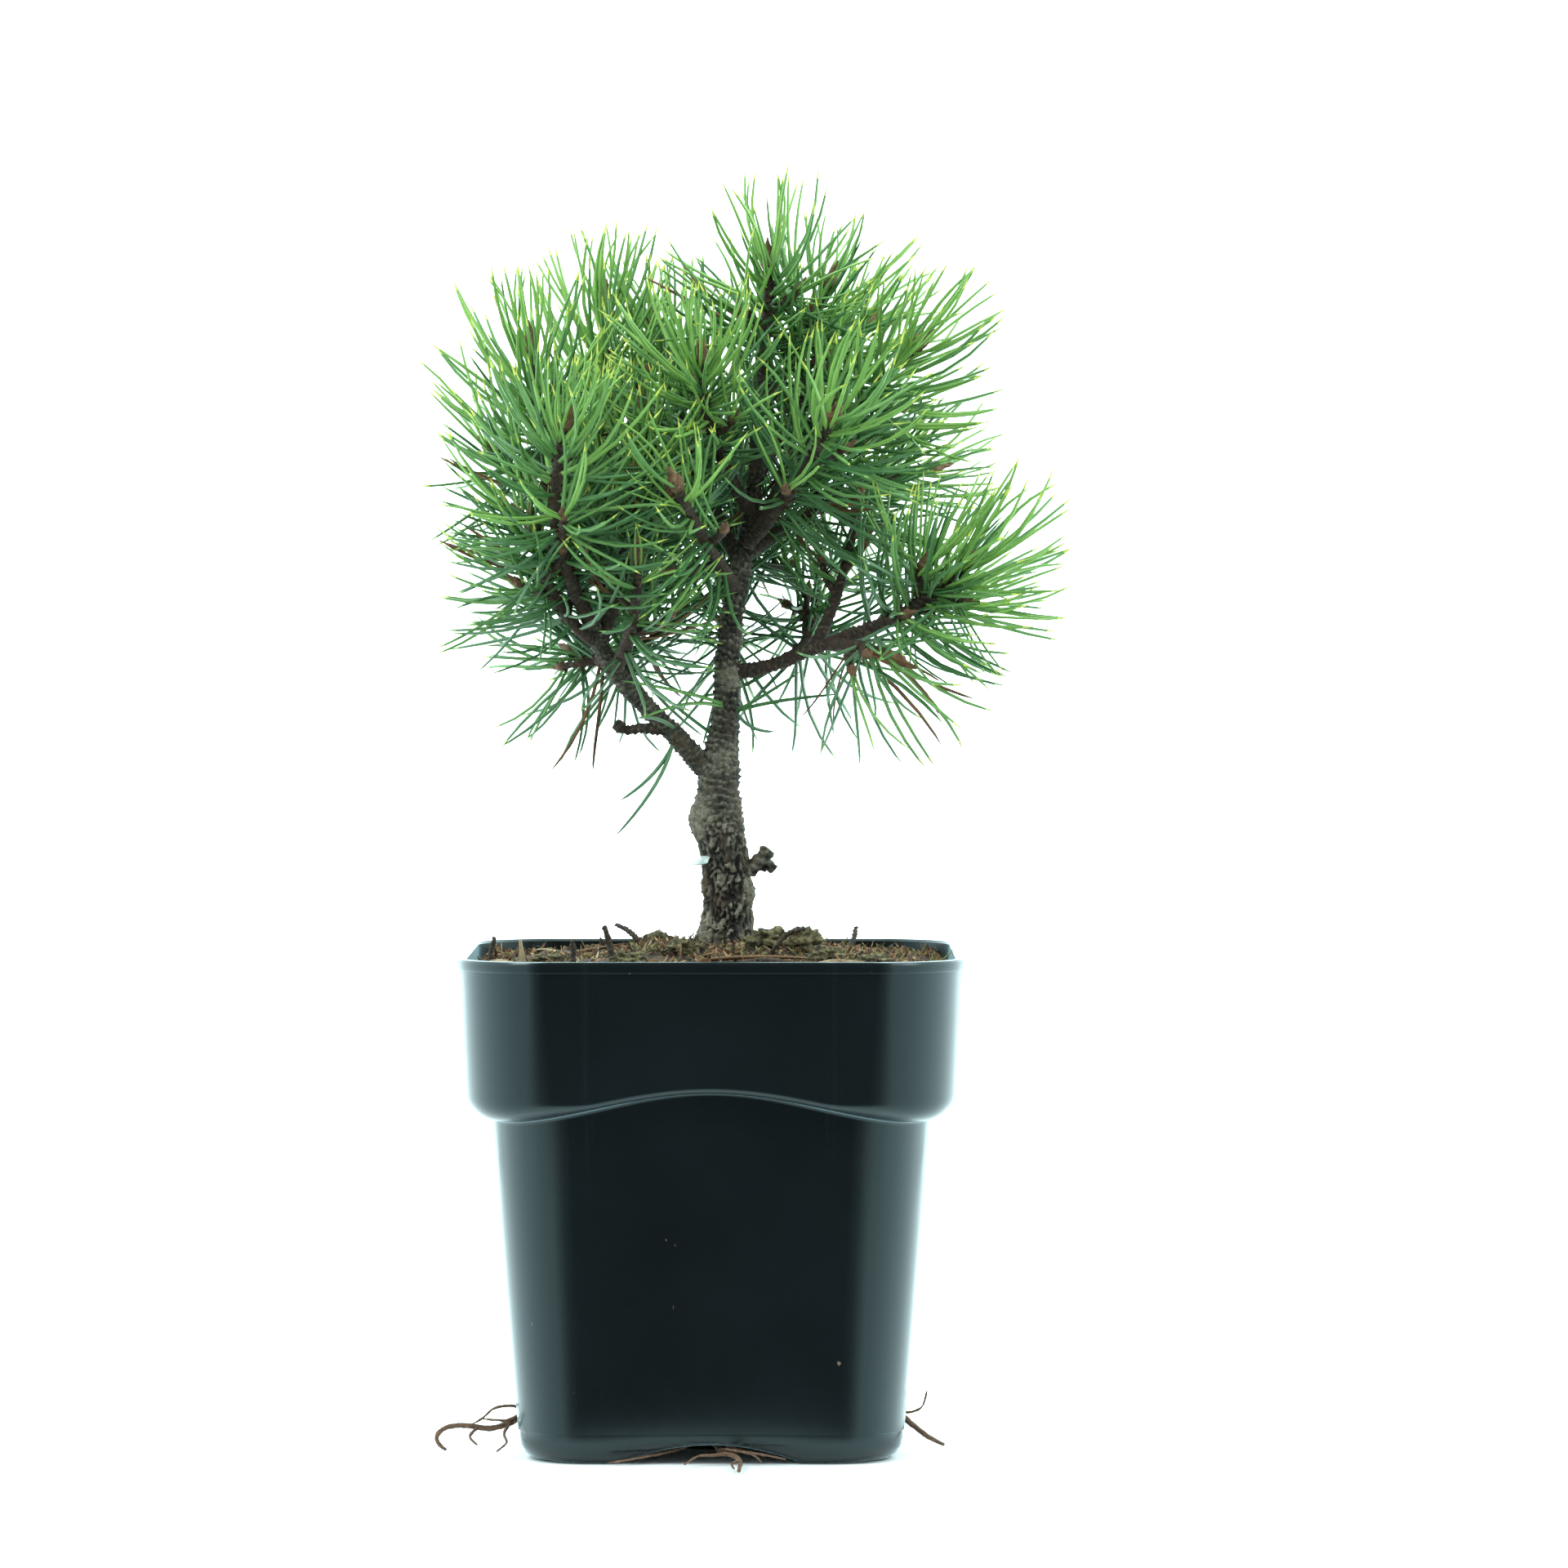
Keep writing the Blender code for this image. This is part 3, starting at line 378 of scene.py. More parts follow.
# How far in from the body's foot a ring stands, how high, and how much of the arch bends it.
FOOT_RINGS = [(0.0040, 0.0006, 0.93), (0.0022, 0.0022, 0.75), (0.0010, 0.0045, 0.40), (0.0007, 0.0065, 0.15),
              (0.0006, RING_LINE_HEIGHT, 0.0), (0.0001, RING_LINE_HEIGHT + 0.0003, 0.0),
              (0.0, BODY_FOOT_HEIGHT, 0.0)]
BAND_BENDS = (84, 72, 60, 48, 36, 24, 12, 0)


def seam_push(angle, height, half):
    """How far the wall stands out at a mould line, and at the soft ridge where a side meets its corner."""
    across = abs(half * math.tan(within_side(angle)))
    if height < SEAM_FOOT:
        return 0.0
    line = max(0.0, 1 - abs(across - SEAM_PLACE) / SEAM_WIDTH)
    return SEAM_PUSH * line + RIDGE_PUSH * soft(1 - abs(across - RIDGE_PLACE) / RIDGE_WIDTH)


def pot_ring(half, corner, height, rise=None, inset=None, seams=False):
    points = []
    for angle in pot_angles():
        inwards = inset(angle) if inset else 0.0
        reach = square_reach(angle, half - inwards, corner - inwards)
        if seams:
            reach += seam_push(angle, height, half)
        top = height + (rise(angle) if rise else 0.0)
        points.append((reach * math.cos(angle), reach * math.sin(angle), top))
    return points


def band_foot(depth, bends):
    """The rounded lower edge of the band at a depth inside its outer face, one level for each bend."""
    levels = []
    for bend in map(math.radians, bends):
        levels.append((
            BAND_FOOT_WIDTH / 2 - depth, RIM_CORNER - depth, BAND_FOOT_HEIGHT + depth,
            lambda a, b=bend: wave(a) + (1 - math.sin(b)) * (band_edge(a) - depth),
            lambda a, b=bend: (1 - math.cos(b)) * (band_edge(a) - depth),
        ))
    return levels


def outer_wall():
    """The outside from the standing edge to the top of the lip: half width, corner, height and rise."""
    foot, top, band = BODY_FOOT_WIDTH / 2, BODY_TOP_WIDTH / 2, BAND_FOOT_WIDTH / 2
    levels = [(STANDING_WIDTH / 2, FOOT_CORNER, 0.0, arch)]
    for inset, height, share in FOOT_RINGS:
        levels.append((foot - inset, FOOT_CORNER, height, lambda a, s=share: s * arch(a)))
    body_top = BAND_FOOT_HEIGHT - 0.0012
    for share in (step / 9 for step in range(1, 9)):
        level = (foot + share * (top - foot), FOOT_CORNER + share * (BODY_TOP_CORNER - FOOT_CORNER))
        height = BODY_FOOT_HEIGHT + share * (body_top - BODY_FOOT_HEIGHT)
        levels.append((*level, height, lambda a, s=share: s**6 * wave(a)))
    levels += [
        (top, BODY_TOP_CORNER, body_top, wave),
        (top + 0.0001, BODY_TOP_CORNER, body_top + 0.0006, wave),
        (top + 0.0005, BODY_TOP_CORNER, BAND_FOOT_HEIGHT, wave),
        *band_foot(0.0, BAND_BENDS),
    ]
    lip_foot = POT_HEIGHT - LIP_HEIGHT
    for share in (step / 6 for step in range(1, 6)):
        height = BAND_FOOT_HEIGHT + share * (lip_foot - BAND_FOOT_HEIGHT)
        half = band + share * (RIM_WIDTH / 2 - LIP - band)
        levels.append((half, RIM_CORNER, height, lambda a, s=share: (1 - s) ** 2 * (wave(a) + band_edge(a))))
    for inset, height in ((LIP, lip_foot), (0.0002, lip_foot + 0.0002), (0.0, lip_foot + 0.0008),
                          (0.0, POT_HEIGHT - 0.0009), (0.0003, POT_HEIGHT - 0.0002)):
        levels.append((RIM_WIDTH / 2 - inset, RIM_CORNER, height, None))
    return levels


def inner_wall():
    """The inside of the pot from the top of the lip to the raised floor."""
    foot, top = BODY_FOOT_WIDTH / 2 - WALL, BODY_TOP_WIDTH / 2 - WALL
    return [
        (RIM_WIDTH / 2 - LIP, RIM_CORNER, POT_HEIGHT, None),
        (RIM_WIDTH / 2 - LIP - 0.0008, RIM_CORNER - 0.0008, POT_HEIGHT, None),
        (RIM_WIDTH / 2 - LIP - WALL, RIM_CORNER - WALL, POT_HEIGHT - 0.0007, None),
        *band_foot(WALL, (0, 60)),
        (top, BODY_TOP_CORNER - WALL, BAND_FOOT_HEIGHT + WALL, wave),
        (foot, FOOT_CORNER - WALL, 0.010, None),
        (foot - 0.002, FOOT_CORNER - WALL, FLOOR_HEIGHT + WALL, None),
    ]


print(len(outer_wall()), "rings outside and", len(inner_wall()), "inside")


# %% Loft the pot
def loft(rings):
    """A closed solid through rings with equal numbers of points. Its two ends are flat faces."""
    count = len(rings[0])
    ends = [reversed(range(count)), range((len(rings) - 1) * count, len(rings) * count)]
    return [point for ring in rings for point in ring], ring_faces(len(rings), count) + ends


half_stand = STANDING_WIDTH / 2
under = [
    (PAD_RADIUS, PAD_RADIUS, 0.0, None),
    (PAD_RADIUS + 0.001, PAD_RADIUS + 0.001, FLOOR_HEIGHT, None),
    (half_stand - WALL - 0.001, FOOT_CORNER - WALL, FLOOR_HEIGHT, None),
    (half_stand - WALL, FOOT_CORNER - WALL, 0.0, arch),
]
pot_rings = [pot_ring(*level) for level in under]
pot_rings += [pot_ring(*level, seams=True) for level in outer_wall()]
pot_rings += [pot_ring(*level) for level in inner_wall()]
pot_skin = Skin()
pot_skin.add(*loft(pot_rings))
pot_mesh = pot_skin.mesh("pot_shell")
pot_form = bmesh.new()
pot_form.from_mesh(pot_mesh)
bmesh.ops.recalc_face_normals(pot_form, faces=pot_form.faces)
pot_form.to_mesh(pot_mesh)
pot_form.free()
print("pot shell:", len(pot_mesh.polygons), "faces")

# %% Drain holes
DRAIN_RADIUS, DRAIN_SPREAD = 0.0045, 0.041
SLOT_WIDTH, SLOT_HEIGHT, SLOT_SPREAD, SLOT_LEVEL = 0.008, 0.004, 0.030, 0.0130


def drain_cutters():
    """One mesh of cutters: four round ones for the floor, and four blocks for the slots in two walls."""
    form = bmesh.new()
    for turn in (quarter * math.pi / 2 for quarter in range(4)):
        x, y = DRAIN_SPREAD * math.cos(turn), DRAIN_SPREAD * math.sin(turn)
        bmesh.ops.create_cone(form, segments=28, radius1=DRAIN_RADIUS, radius2=DRAIN_RADIUS, depth=4 * WALL,
                              cap_ends=True, matrix=Matrix.Translation((x, y, FLOOR_HEIGHT + WALL / 2)))
    for side in (-1, 1):
        for y in (-SLOT_SPREAD, SLOT_SPREAD):
            place = Matrix.Translation((side * BODY_FOOT_WIDTH / 2, y, SLOT_LEVEL))
            size = Matrix.Diagonal((8 * WALL, SLOT_WIDTH, SLOT_HEIGHT, 1.0))
            bmesh.ops.create_cube(form, matrix=place @ size)
    mesh = bpy.data.meshes.new("drain_cutters")
    form.to_mesh(mesh)
    form.free()
    return mesh


def evaluated_mesh(obj):
    graph = bpy.context.evaluated_depsgraph_get()
    graph.update()
    return bpy.data.meshes.new_from_object(obj.evaluated_get(graph))


def cut_away(mesh, cutter_mesh):
    """The mesh with the cutters taken out of it, and no helper left in the scene."""
    solid, cutter = (bpy.data.objects.new("helper", data) for data in (mesh, cutter_mesh))
    for helper in (solid, cutter):
        bpy.context.scene.collection.objects.link(helper)
    cut = solid.modifiers.new("drains", "BOOLEAN")
    cut.operation, cut.object, cut.solver = "DIFFERENCE", cutter, "EXACT"
    result = evaluated_mesh(solid)
    for helper in (solid, cutter):
        bpy.data.objects.remove(helper)
    return result


pot_mesh = cut_away(pot_mesh, drain_cutters())
print("pot with drains:", len(pot_mesh.polygons), "faces")

# %% [markdown]
# The plastic is a near-black slate with a little blue in it. It is smooth, but handled: soft smears change
# how sharply it mirrors, and a few specks of dried soil cling to it. Specks come from stretched noise cut
# off at a high threshold, so that only its rare peaks show.

# %% Pot finish
SLATE_DARK, SLATE_LIGHT = (0.0016, 0.0026, 0.0032), (0.0026, 0.0042, 0.0052)
SOIL_SPECK = (0.16, 0.12, 0.08, 1.0)
SLATE_SHEEN = {"IOR": 1.55, "Specular Tint": (0.76, 0.97, 1.0, 1.0), "Sheen Weight": 0.75,
               "Sheen Roughness": 0.24, "Sheen Tint": (0.66, 0.94, 1.0, 1.0)}

slate, tree, shader = new_finish("slate_plastic", 0.30)
for label, value in SLATE_SHEEN.items():
    shader.inputs[label].default_value = value
smears = object_noise(tree, 0.030, 3.0)
tree.links.new(map_range(tree, smears, to_low=0.20, to_high=0.29), shader.inputs["Roughness"])
shades = ramp(tree, object_noise(tree, 0.055, 2.0), [(0.3, SLATE_DARK), (0.7, SLATE_LIGHT)])
peaks = object_noise(tree, 0.0032, 2.0, 0.4, (1.0, 1.0, 0.7))
specks = ramp(tree, peaks, [(0.775, (0, 0, 0)), (0.790, (1, 1, 1))])
paint(tree, shader, blend(tree, specks, shades, SOIL_SPECK))
bump(tree, shader, object_noise(tree, 0.012, 3.0), 0.0001, 0.12)
pot_mesh.materials.clear()
pot = new_piece("nursery_pot", pot_mesh, [slate], "pot_plastic")
for label, value in (("material_index", 0), ("use_smooth", True)):
    pot_mesh.polygons.foreach_set(label, [value] * len(pot_mesh.polygons))
pot_mesh.set_sharp_from_angle(angle=math.radians(38))
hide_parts("pot")
print("pot:", [round(side / mm, 1) for side in pot.dimensions], "mm")

# %% [markdown]
# ## Bark
#
# Bark could be a bump map, but the trunk is seen against white, and there a bump map leaves the outline
# smooth. So the relief is in the mesh. Each limb is a fine tube along its line, and a rule in the limb's own
# terms, how far along and how far round, pushes its skin in and out: long plates low on the trunk, and rows
# of small scales higher up, where each scale is the scar of an old pair of needles.

# %% Limb lines
TRUNK_LINE = metres([
    (4.5, 0, 150, 9.2), (4.5, 0, 154.5, 8), (4.5, 0, 160, 7.2), (3.8, -1, 178, 6.8), (2, 0, 190, 7),
    (2.4, 0, 207, 5.8), (4, 0, 220, 4.3), (5, 0, 243, 3.6), (8.6, 2, 265, 3), (12.8, 6, 289, 2.5),
    (14.3, 6, 325, 2.1),
])
LEFT_BOUGH_LINE = metres([
    (1, -0.5, 201, 3.6), (-6, -2, 209.5, 3.2), (-13, -4, 216.8, 3), (-20.5, -6, 224.6, 2.8),
    (-27, -8.5, 231.5, 2.7), (-32.5, -11, 240, 2.6), (-36.6, -14, 249, 2.4),
])
RIGHT_BOUGH_LINE = metres([
    (5, 0, 233, 2.2), (10, -1, 234.5, 2.2), (19, -3, 236.7, 2), (28, -5, 240, 1.8), (40, -8.5, 244.8, 1.7),
])
STUB_LINE = metres([
    (-14, -5, 216.5, 1.5), (-20.5, -6, 217.2, 1.5), (-25.5, -6.5, 216.8, 1.3), (-27.8, -6.5, 217.8, 1.9),
    (-29.4, -6.5, 218.8, 1.4),
])
KNOB_LINES = [
    metres([(8, -1, 174, 3), (13, -2, 176, 2.2), (16, -2, 179, 2.4), (17.2, -2.2, 180.5, 1.6)]),
    metres([(12, -2, 175, 2.2), (16.5, -2.6, 176.2, 1.8), (19, -2.8, 174.5, 1.4)]),
]


def through_points(stations, spacing):
    """Points on a smooth curve through the stations, about spacing apart. A radius goes with its point."""
    stations = np.array(stations, float)
    padded = np.vstack([2 * stations[0] - stations[1], stations, 2 * stations[-1] - stations[-2]])
    line = []
    for index in range(1, len(padded) - 2):
        before, start, end, after = padded[index - 1 : index + 3]
        bend, twist = 2 * before - 5 * start + 4 * end - after, 3 * start - before - 3 * end + after
        steps = max(int(np.linalg.norm((end - start)[:3]) / spacing), 1)
        for t in np.linspace(0, 1, steps, endpoint=False):
            line.append(0.5 * (2 * start + (end - before) * t + bend * t**2 + twist * t**3))
    return np.array([*line, stations[-1]])


print("trunk line of", len(through_points(TRUNK_LINE, 0.5 * mm)), "points")


# %% Tubes along a line
def frames_along(path):
    """Two directions across the path at each point, turned as little as they can be from one to the next."""
    along = np.gradient(path, axis=0)
    along /= np.linalg.norm(along, axis=1)[:, None]
    side = np.array(Vector(along[0]).orthogonal().normalized())
    sides = []
    for direction in along:
        side = side - side.dot(direction) * direction
        side = side / np.linalg.norm(side)
        sides.append(side)
    sides = np.array(sides)
    return sides, np.cross(along, sides)


def lengths_along(path):
    """How far along a path each of its points is."""
    return np.concatenate([[0.0], np.cumsum(np.linalg.norm(np.diff(path, axis=0), axis=1))])


def tube(line, sides, push):
    """A closed tube along rows of (x, y, z, radius), for Skin.add. push tells how far its skin moves out."""
    path, radii = line[:, :3], line[:, 3]
    across, up = frames_along(path)
    along = lengths_along(path)
    points, relief = [], []
    for index, centre in enumerate(path):
        for step in range(sides):
            turn = 2 * math.pi * step / sides
            outward = math.cos(turn) * across[index] + math.sin(turn) * up[index]
            out = push(along[index], turn, radii[index], centre + outward * radii[index])
            points.append(centre + outward * (radii[index] + out))
            relief.append(out)
    foot, tip, last = len(points), len(points) + 1, len(points) - sides
    points += [path[0], path[-1] + (path[-1] - path[-2]) * 0.3]
    faces = ring_faces(len(path), sides)
    for step in range(sides):
        following = (step + 1) % sides
        faces += [(foot, following, step), (tip, last + step, last + following)]
    return points, faces, 0, relief + [0.0, 0.0]


def tubes_piece(name, tubes, spacing, finish, slot):
    """A piece of tubes, each (line, sides, push), with a ring every spacing or, without one, at each row."""
    skin = Skin()
    for line, sides, push in tubes:
        skin.add(*tube(through_points(line, spacing) if spacing else line, sides, push))
    return skin.piece(name, finish, slot)


print("tube helpers ready")

# %% Relief of the bark
PLATE_WIDTH, PLATE_LENGTH = 0.0023, 0.0050
TRUNK_SCALES, BOUGH_SCALES, STEM_SCALES = 0.0023, 0.0019, 0.0014
SCALES_FROM = 0.178
BARK_SEED = 7
# The trunk's burls and its flare at the foot: place, width and how far each swells, in millimetres.
TRUNK_SWELLS = metres([
    (-5, -1, 189, 10, 2.4), (12, -2, 169, 7, 1.8), (-4, -4, 156, 9, 1.6),
    (11, 6, 160, 9, 1.6), (3, -6, 206, 7, 0.8), (6, -4, 233, 6, 0.7),
])
noise.seed_set(BARK_SEED)  # noise_vector would otherwise differ from run to run


def grain(place, depth, size):
    return depth * noise.noise(Vector(place) / size)


def plates(along, turn, radius):
    """Long plates with fissures that the bark finish darkens, partly with painted shade: cells on the
    unrolled bark, and the distance to their edges.
    """
    round_bark = radius / PLATE_WIDTH
    place = Vector((round_bark * math.cos(turn), round_bark * math.sin(turn), along / PLATE_LENGTH))
    place += noise.noise_vector(place * 1.3) * 0.7
    distances, centres = noise.voronoi(place)
    flake = soft((distances[1] - distances[0]) / 0.22)
    lift = 0.5 + 0.5 * noise.noise(centres[0] * 3.7)
    return flake * (0.45 + 0.75 * lift) - 0.25 * soft((place - centres[0]).z + 0.5)


def scales(along, turn, spacing):
    """Rows of small scales in a spiral, each rising towards the shoot's tip and then dropping."""
    place = Vector((math.cos(turn) * 1.7, math.sin(turn) * 1.7, along / spacing * 0.7))
    phase = along / spacing + turn / math.pi + 0.55 * noise.noise(place)
    return (phase % 1.0) ** 2 * (0.45 + 0.55 * soft(0.5 + 1.2 * noise.noise(place * 1.9)))


def trunk_push(along, turn, radius, place):
    swell = sum(push * soft(1 - (Vector(place) - Vector(centre)).length / width)
                for *centre, width, push in TRUNK_SWELLS)
    young = soft((place[2] - SCALES_FROM) / 0.022)
    old_bark = 0.00140 * (plates(along, turn, radius) - 0.55)
    new_bark = 0.00120 * (scales(along, turn, TRUNK_SCALES) - 0.30) * min(radius / 0.0045, 1.0)
    fine = grain(place, 0.00040, 0.0010) + grain(place, 0.0006, 0.0075)
    return swell + (1 - young) * old_bark + young * new_bark + fine


def bough_push(along, turn, radius, place):
    fine = grain(place, 0.00025, 0.0009) + grain(place, 0.0004, 0.004)
    return 0.00075 * (scales(along, turn, BOUGH_SCALES) - 0.25) + fine


def knob_push(along, turn, radius, place):
    return grain(place, 0.0011, 0.0022) + grain(place, 0.0004, 0.0008)


def stem_push(along, turn, radius, place):
    """The stem is rough with the stubs of needle sheaths and the scales between them."""
    return 0.0007 * (scales(along, turn, STEM_SCALES) - 0.2) + grain(place, 0.0003, 0.0008)


print("bark rules ready")

# %% Bark finish
def bark_finish(name, crack_tone_and_shade, faces, patches, patch_share):
    """Bark that is dark where its relief is low, partly its own darker tone there and partly painted shade,
    pale on its plates, and patched with another tone.
    """
    material, tree, shader = new_finish(name, 0.88)
    relief = add(tree, "ShaderNodeAttribute", attribute_name="relief", attribute_type="GEOMETRY")
    height = map_range(tree, relief.outputs["Fac"], -0.0006, 0.0004)
    speckle = object_noise(tree, 0.0011, 5.0, 0.65)
    light = add(tree, "ShaderNodeMath", {0: height, 1: speckle}, operation="MULTIPLY").outputs[0]
    # Low relief takes the first, darkest colour: partly the bark's own darker tone in its hollows and partly
    # painted shade.
    base = ramp(tree, light, [(0.09, crack_tone_and_shade), (0.33, faces[0]), (0.60, faces[1])])
    patch = ramp(tree, object_noise(tree, 0.0065, 3.0, 0.5, (1.0, 1.0, 0.6)),
                 [(patch_share, (0, 0, 0)), (patch_share + 0.13, (0.85, 0.85, 0.85))])
    paint(tree, shader, blend(tree, patch, base, (*patches, 1.0)))
    bump(tree, shader, object_noise(tree, 0.0007, 6.0, 0.7), 0.0004, 0.8)
    return material


# The first colour of each bark finish is its darkest, for low relief: partly the bark's own tone, partly
# painted shade.
trunk_bark = bark_finish("trunk_bark", (0.008, 0.007, 0.005), ((0.068, 0.061, 0.042), (0.225, 0.208, 0.152)),
                         (0.082, 0.056, 0.033), 0.55)
twig_bark = bark_finish("twig_bark", (0.010, 0.007, 0.005), ((0.045, 0.032, 0.021), (0.140, 0.105, 0.070)),
                        (0.050, 0.027, 0.015), 0.50)
print("two bark finishes ready")

# %% Trunk, boughs and stub
BARK_STEP = 0.45 * mm
pale_limbs = [(TRUNK_LINE, 88, trunk_push), (LEFT_BOUGH_LINE, 48, bough_push)]
pale_limbs += [(line, 28, knob_push) for line in KNOB_LINES]
dark_limbs = [(RIGHT_BOUGH_LINE, 32, bough_push), (STUB_LINE, 24, bough_push)]

trunk = tubes_piece("barked_trunk", pale_limbs, BARK_STEP, trunk_bark, "bark")
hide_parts("trunk", "left_bough_lower", "left_bough_upper")
boughs = tubes_piece("dark_boughs", dark_limbs, BARK_STEP, twig_bark, "bark")
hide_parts("right_bough", "dead_stub")
print("bark:", len(trunk.data.polygons), "faces on the trunk and", len(boughs.data.polygons), "on dark limbs")

# %% [markdown]
# ## The shoots
#
# A pine grows in steps. Each spring the bud at a shoot's tip makes a new stem, and a ring of buds below it
# makes side twigs. So every shoot follows one rule: a stem bows from its limb to its tip, and twigs leave it
# round a spiral. The table gives, for each shoot of the CAD model, the limb it grows from, how far along
# that limb, its tip and its bow in millimetres, its side twigs and the droop of its needles.

# %% Shoot table
SHOOTS = {
    "shoot_leader": ("trunk", 1.00, (17, -2, 357), (1, 0, 0), 0, 0.00),
    "shoot_beside_leader": ("trunk", 0.93, (35, 12, 351), (1, 1, -2), 0, 0.00),
    "shoot_right_top": ("trunk", 0.72, (62, 0, 333), (1, 4, 1), 1, 0.05),
    "shoot_right_back": ("trunk", 0.80, (47, 46, 341), (-2, 4, 1), 1, 0.00),
    "shoot_middle_front": ("trunk", 0.68, (36, -40, 310), (1, 2, -2), 1, 0.10),
    "shoot_inner": ("trunk", 0.74, (-3, -30, 328), (-4, -2, 1), 1, 0.00),
    "shoot_middle_back": ("trunk", 0.64, (-18, 50, 340), (-1, 6, -2), 1, 0.00),
    "shoot_back": ("trunk", 0.60, (10, 68, 300), (-1, 6, -4), 1, 0.15),
    "shoot_back_low": ("trunk", 0.50, (4, 50, 258), (0, 3, -4), 0, 0.30),
    "shoot_front_low": ("trunk", 0.60, (-10, -48, 290), (0, -3, -2), 1, 0.05),
    "shoot_left_front": ("left", 1.00, (-43, -50, 308), (-6, -2, 0), 1, 0.18),
    "shoot_left_outer": ("left", 0.88, (-53, -28, 277), (-3, 0, -4), 1, 0.15),
    "shoot_left_top": ("left", 0.92, (-55, 4, 332), (-4, 6, -1), 1, 0.05),
    "shoot_left_middle": ("left", 0.88, (-21, -6, 314), (4, 0, 2), 1, 0.00),
    "shoot_left_back": ("left", 0.84, (-33, 40, 346), (-1, 10, -4), 1, 0.00),
    "shoot_left_low": ("left", 0.80, (-42, 10, 240), (0, 2, -1), 0, 0.45),
    "shoot_left_inner": ("left", 0.74, (-22, -36, 268), (2, -3, -2), 0, 0.12),
    "shoot_left_rear": ("left", 0.60, (-20, 50, 274), (-4, 4, -4), 1, 0.20),
    "shoot_right_end": ("right", 1.00, (77, -21, 267), (2, 0, -2), 2, 0.05),
    "shoot_right_low": ("right", 0.86, (54, -26, 239), (1, -3, 1), 0, 0.45),
    "shoot_right_rising": ("right", 0.72, (44, 4, 284), (1, 2, -3), 0, 0.15),
    "shoot_right_middle": ("trunk", 0.66, (66, 34, 296), (0, 2, 4), 1, 0.15),
    "shoot_right_rear": ("right", 0.50, (32, 50, 264), (3, 4, -4), 1, 0.30),
}
CARRIERS = {"trunk": TRUNK_LINE[2:], "left": LEFT_BOUGH_LINE, "right": RIGHT_BOUGH_LINE}
print(len(SHOOTS), "shoots in the table")

# %% Stems and twigs
STEM_FOOT_RADIUS, STEM_TIP_RADIUS, TWIG_RADIUS = 0.0021, 0.0012, 0.0012
GOLDEN_ANGLE = math.radians(137.5)
TWIG_SHARE, SHORTEST_TWIG, FINE_TWIGS = 0.42, 0.012, 2
TWIGS_FROM, TWIGS_SPAN = 0.30, 0.50
TWIG_OPENING, TWIG_BOW = (40, 56), 0.06
SEED = 12


def point_at(line, share):
    """The place at a share of a line's length."""
    along = lengths_along(line[:, :3])
    return np.array([np.interp(share * along[-1], along, line[:, k]) for k in range(3)])


def turned(forward, turn):
    """A direction across forward, turned round it."""
    return Matrix.Rotation(turn, 3, forward) @ forward.orthogonal().normalized()


def bowed_line(foot, tip, bow, radii, points=14):
    """A curve from foot to tip whose middle is moved by bow, with radii from foot to tip."""
    foot, tip, bow = np.array(foot), np.array(tip), np.array(bow)
    control = (foot + tip) / 2 + 2 * bow
    t = np.linspace(0, 1, points)[:, None]
    place = (1 - t) ** 2 * foot + 2 * t * (1 - t) * control + t**2 * tip
    return np.hstack([place, radii[0] + (radii[1] - radii[0]) * t])


def side_twigs(stem, count, chance):
    """Twigs that leave a stem in a spiral, each one a bowed line that turns up towards the stem's own tip."""
    length = np.linalg.norm(stem[-1][:3] - stem[0][:3])
    twigs = []
    first_turn = chance.uniform(0, 2 * math.pi)
    for index in range(count):
        share = TWIGS_FROM + TWIGS_SPAN * (index + chance.uniform(0, 0.5)) / count
        foot = point_at(stem, share)
        forward = Vector(point_at(stem, share + 0.05) - foot).normalized()
        side = turned(forward, first_turn + index * GOLDEN_ANGLE)
        opening = math.radians(chance.uniform(*TWIG_OPENING))
        reach = max(TWIG_SHARE * length * chance.uniform(0.7, 1.05) * (1.15 - share), SHORTEST_TWIG)
        tip = foot + np.array(forward * math.cos(opening) + side * math.sin(opening)) * reach
        bow = TWIG_BOW * reach * (np.array(side) - np.array(forward))
        twigs.append(bowed_line(foot, tip, bow, (TWIG_RADIUS, STEM_TIP_RADIUS * 0.8), 8))
    return twigs


chance = random.Random(SEED)
carriers = {name: through_points(line, 2 * mm) for name, line in CARRIERS.items()}
shoots = {}
for name, (carrier, share, tip, bow, twigs, droop) in SHOOTS.items():
    foot = point_at(carriers[carrier], share)
    stem = bowed_line(foot, metres(tip), metres(bow), (STEM_FOOT_RADIUS, STEM_TIP_RADIUS))
    shoots[name] = [stem] + side_twigs(stem, twigs + FINE_TWIGS, chance)
stem_tubes = [(line, 9, stem_push) for lines in shoots.values() for line in lines]
stems = tubes_piece("scaly_stems", stem_tubes, 0.7 * mm, twig_bark, "twig_bark")
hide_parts(*SHOOT_NODES)
print(len(stem_tubes), "stems and twigs:", len(stems.data.polygons), "faces")

# %% [markdown]
# ## Needles
#
# The needles of this pine stand in pairs in a thin brown sheath, about 42 mm long and a bit over 1 mm wide.
# There are far too many to model one by one, and a picture of needles on flat cards would look thin from the
# side. Geometry Nodes suit this: a few pairs are modelled once, a cloud of points says where each pair
# stands, which way it leans and how long it is, and the tree sets a pair on each point. The instances are
# then made real, because the plant is handed on as plain meshes.

# %% One pair of needles
NEEDLE_LENGTH = 0.042
NEEDLE_RADIUS = 0.00072
# How far along a needle, and how wide it is there.
NEEDLE_STATIONS = ((0, 0.85), (0.06, 1), (0.28, 1), (0.52, 0.95), (0.74, 0.84), (0.90, 0.62), (1, 0))
SHEATH, BLADE, TIP = 0, 1, 2
NEEDLE_ZONES = (SHEATH, BLADE, BLADE, BLADE, BLADE, TIP)
# A bent needle's tip stands lower, by this share of its bend squared.
TIP_SINK = 0.45
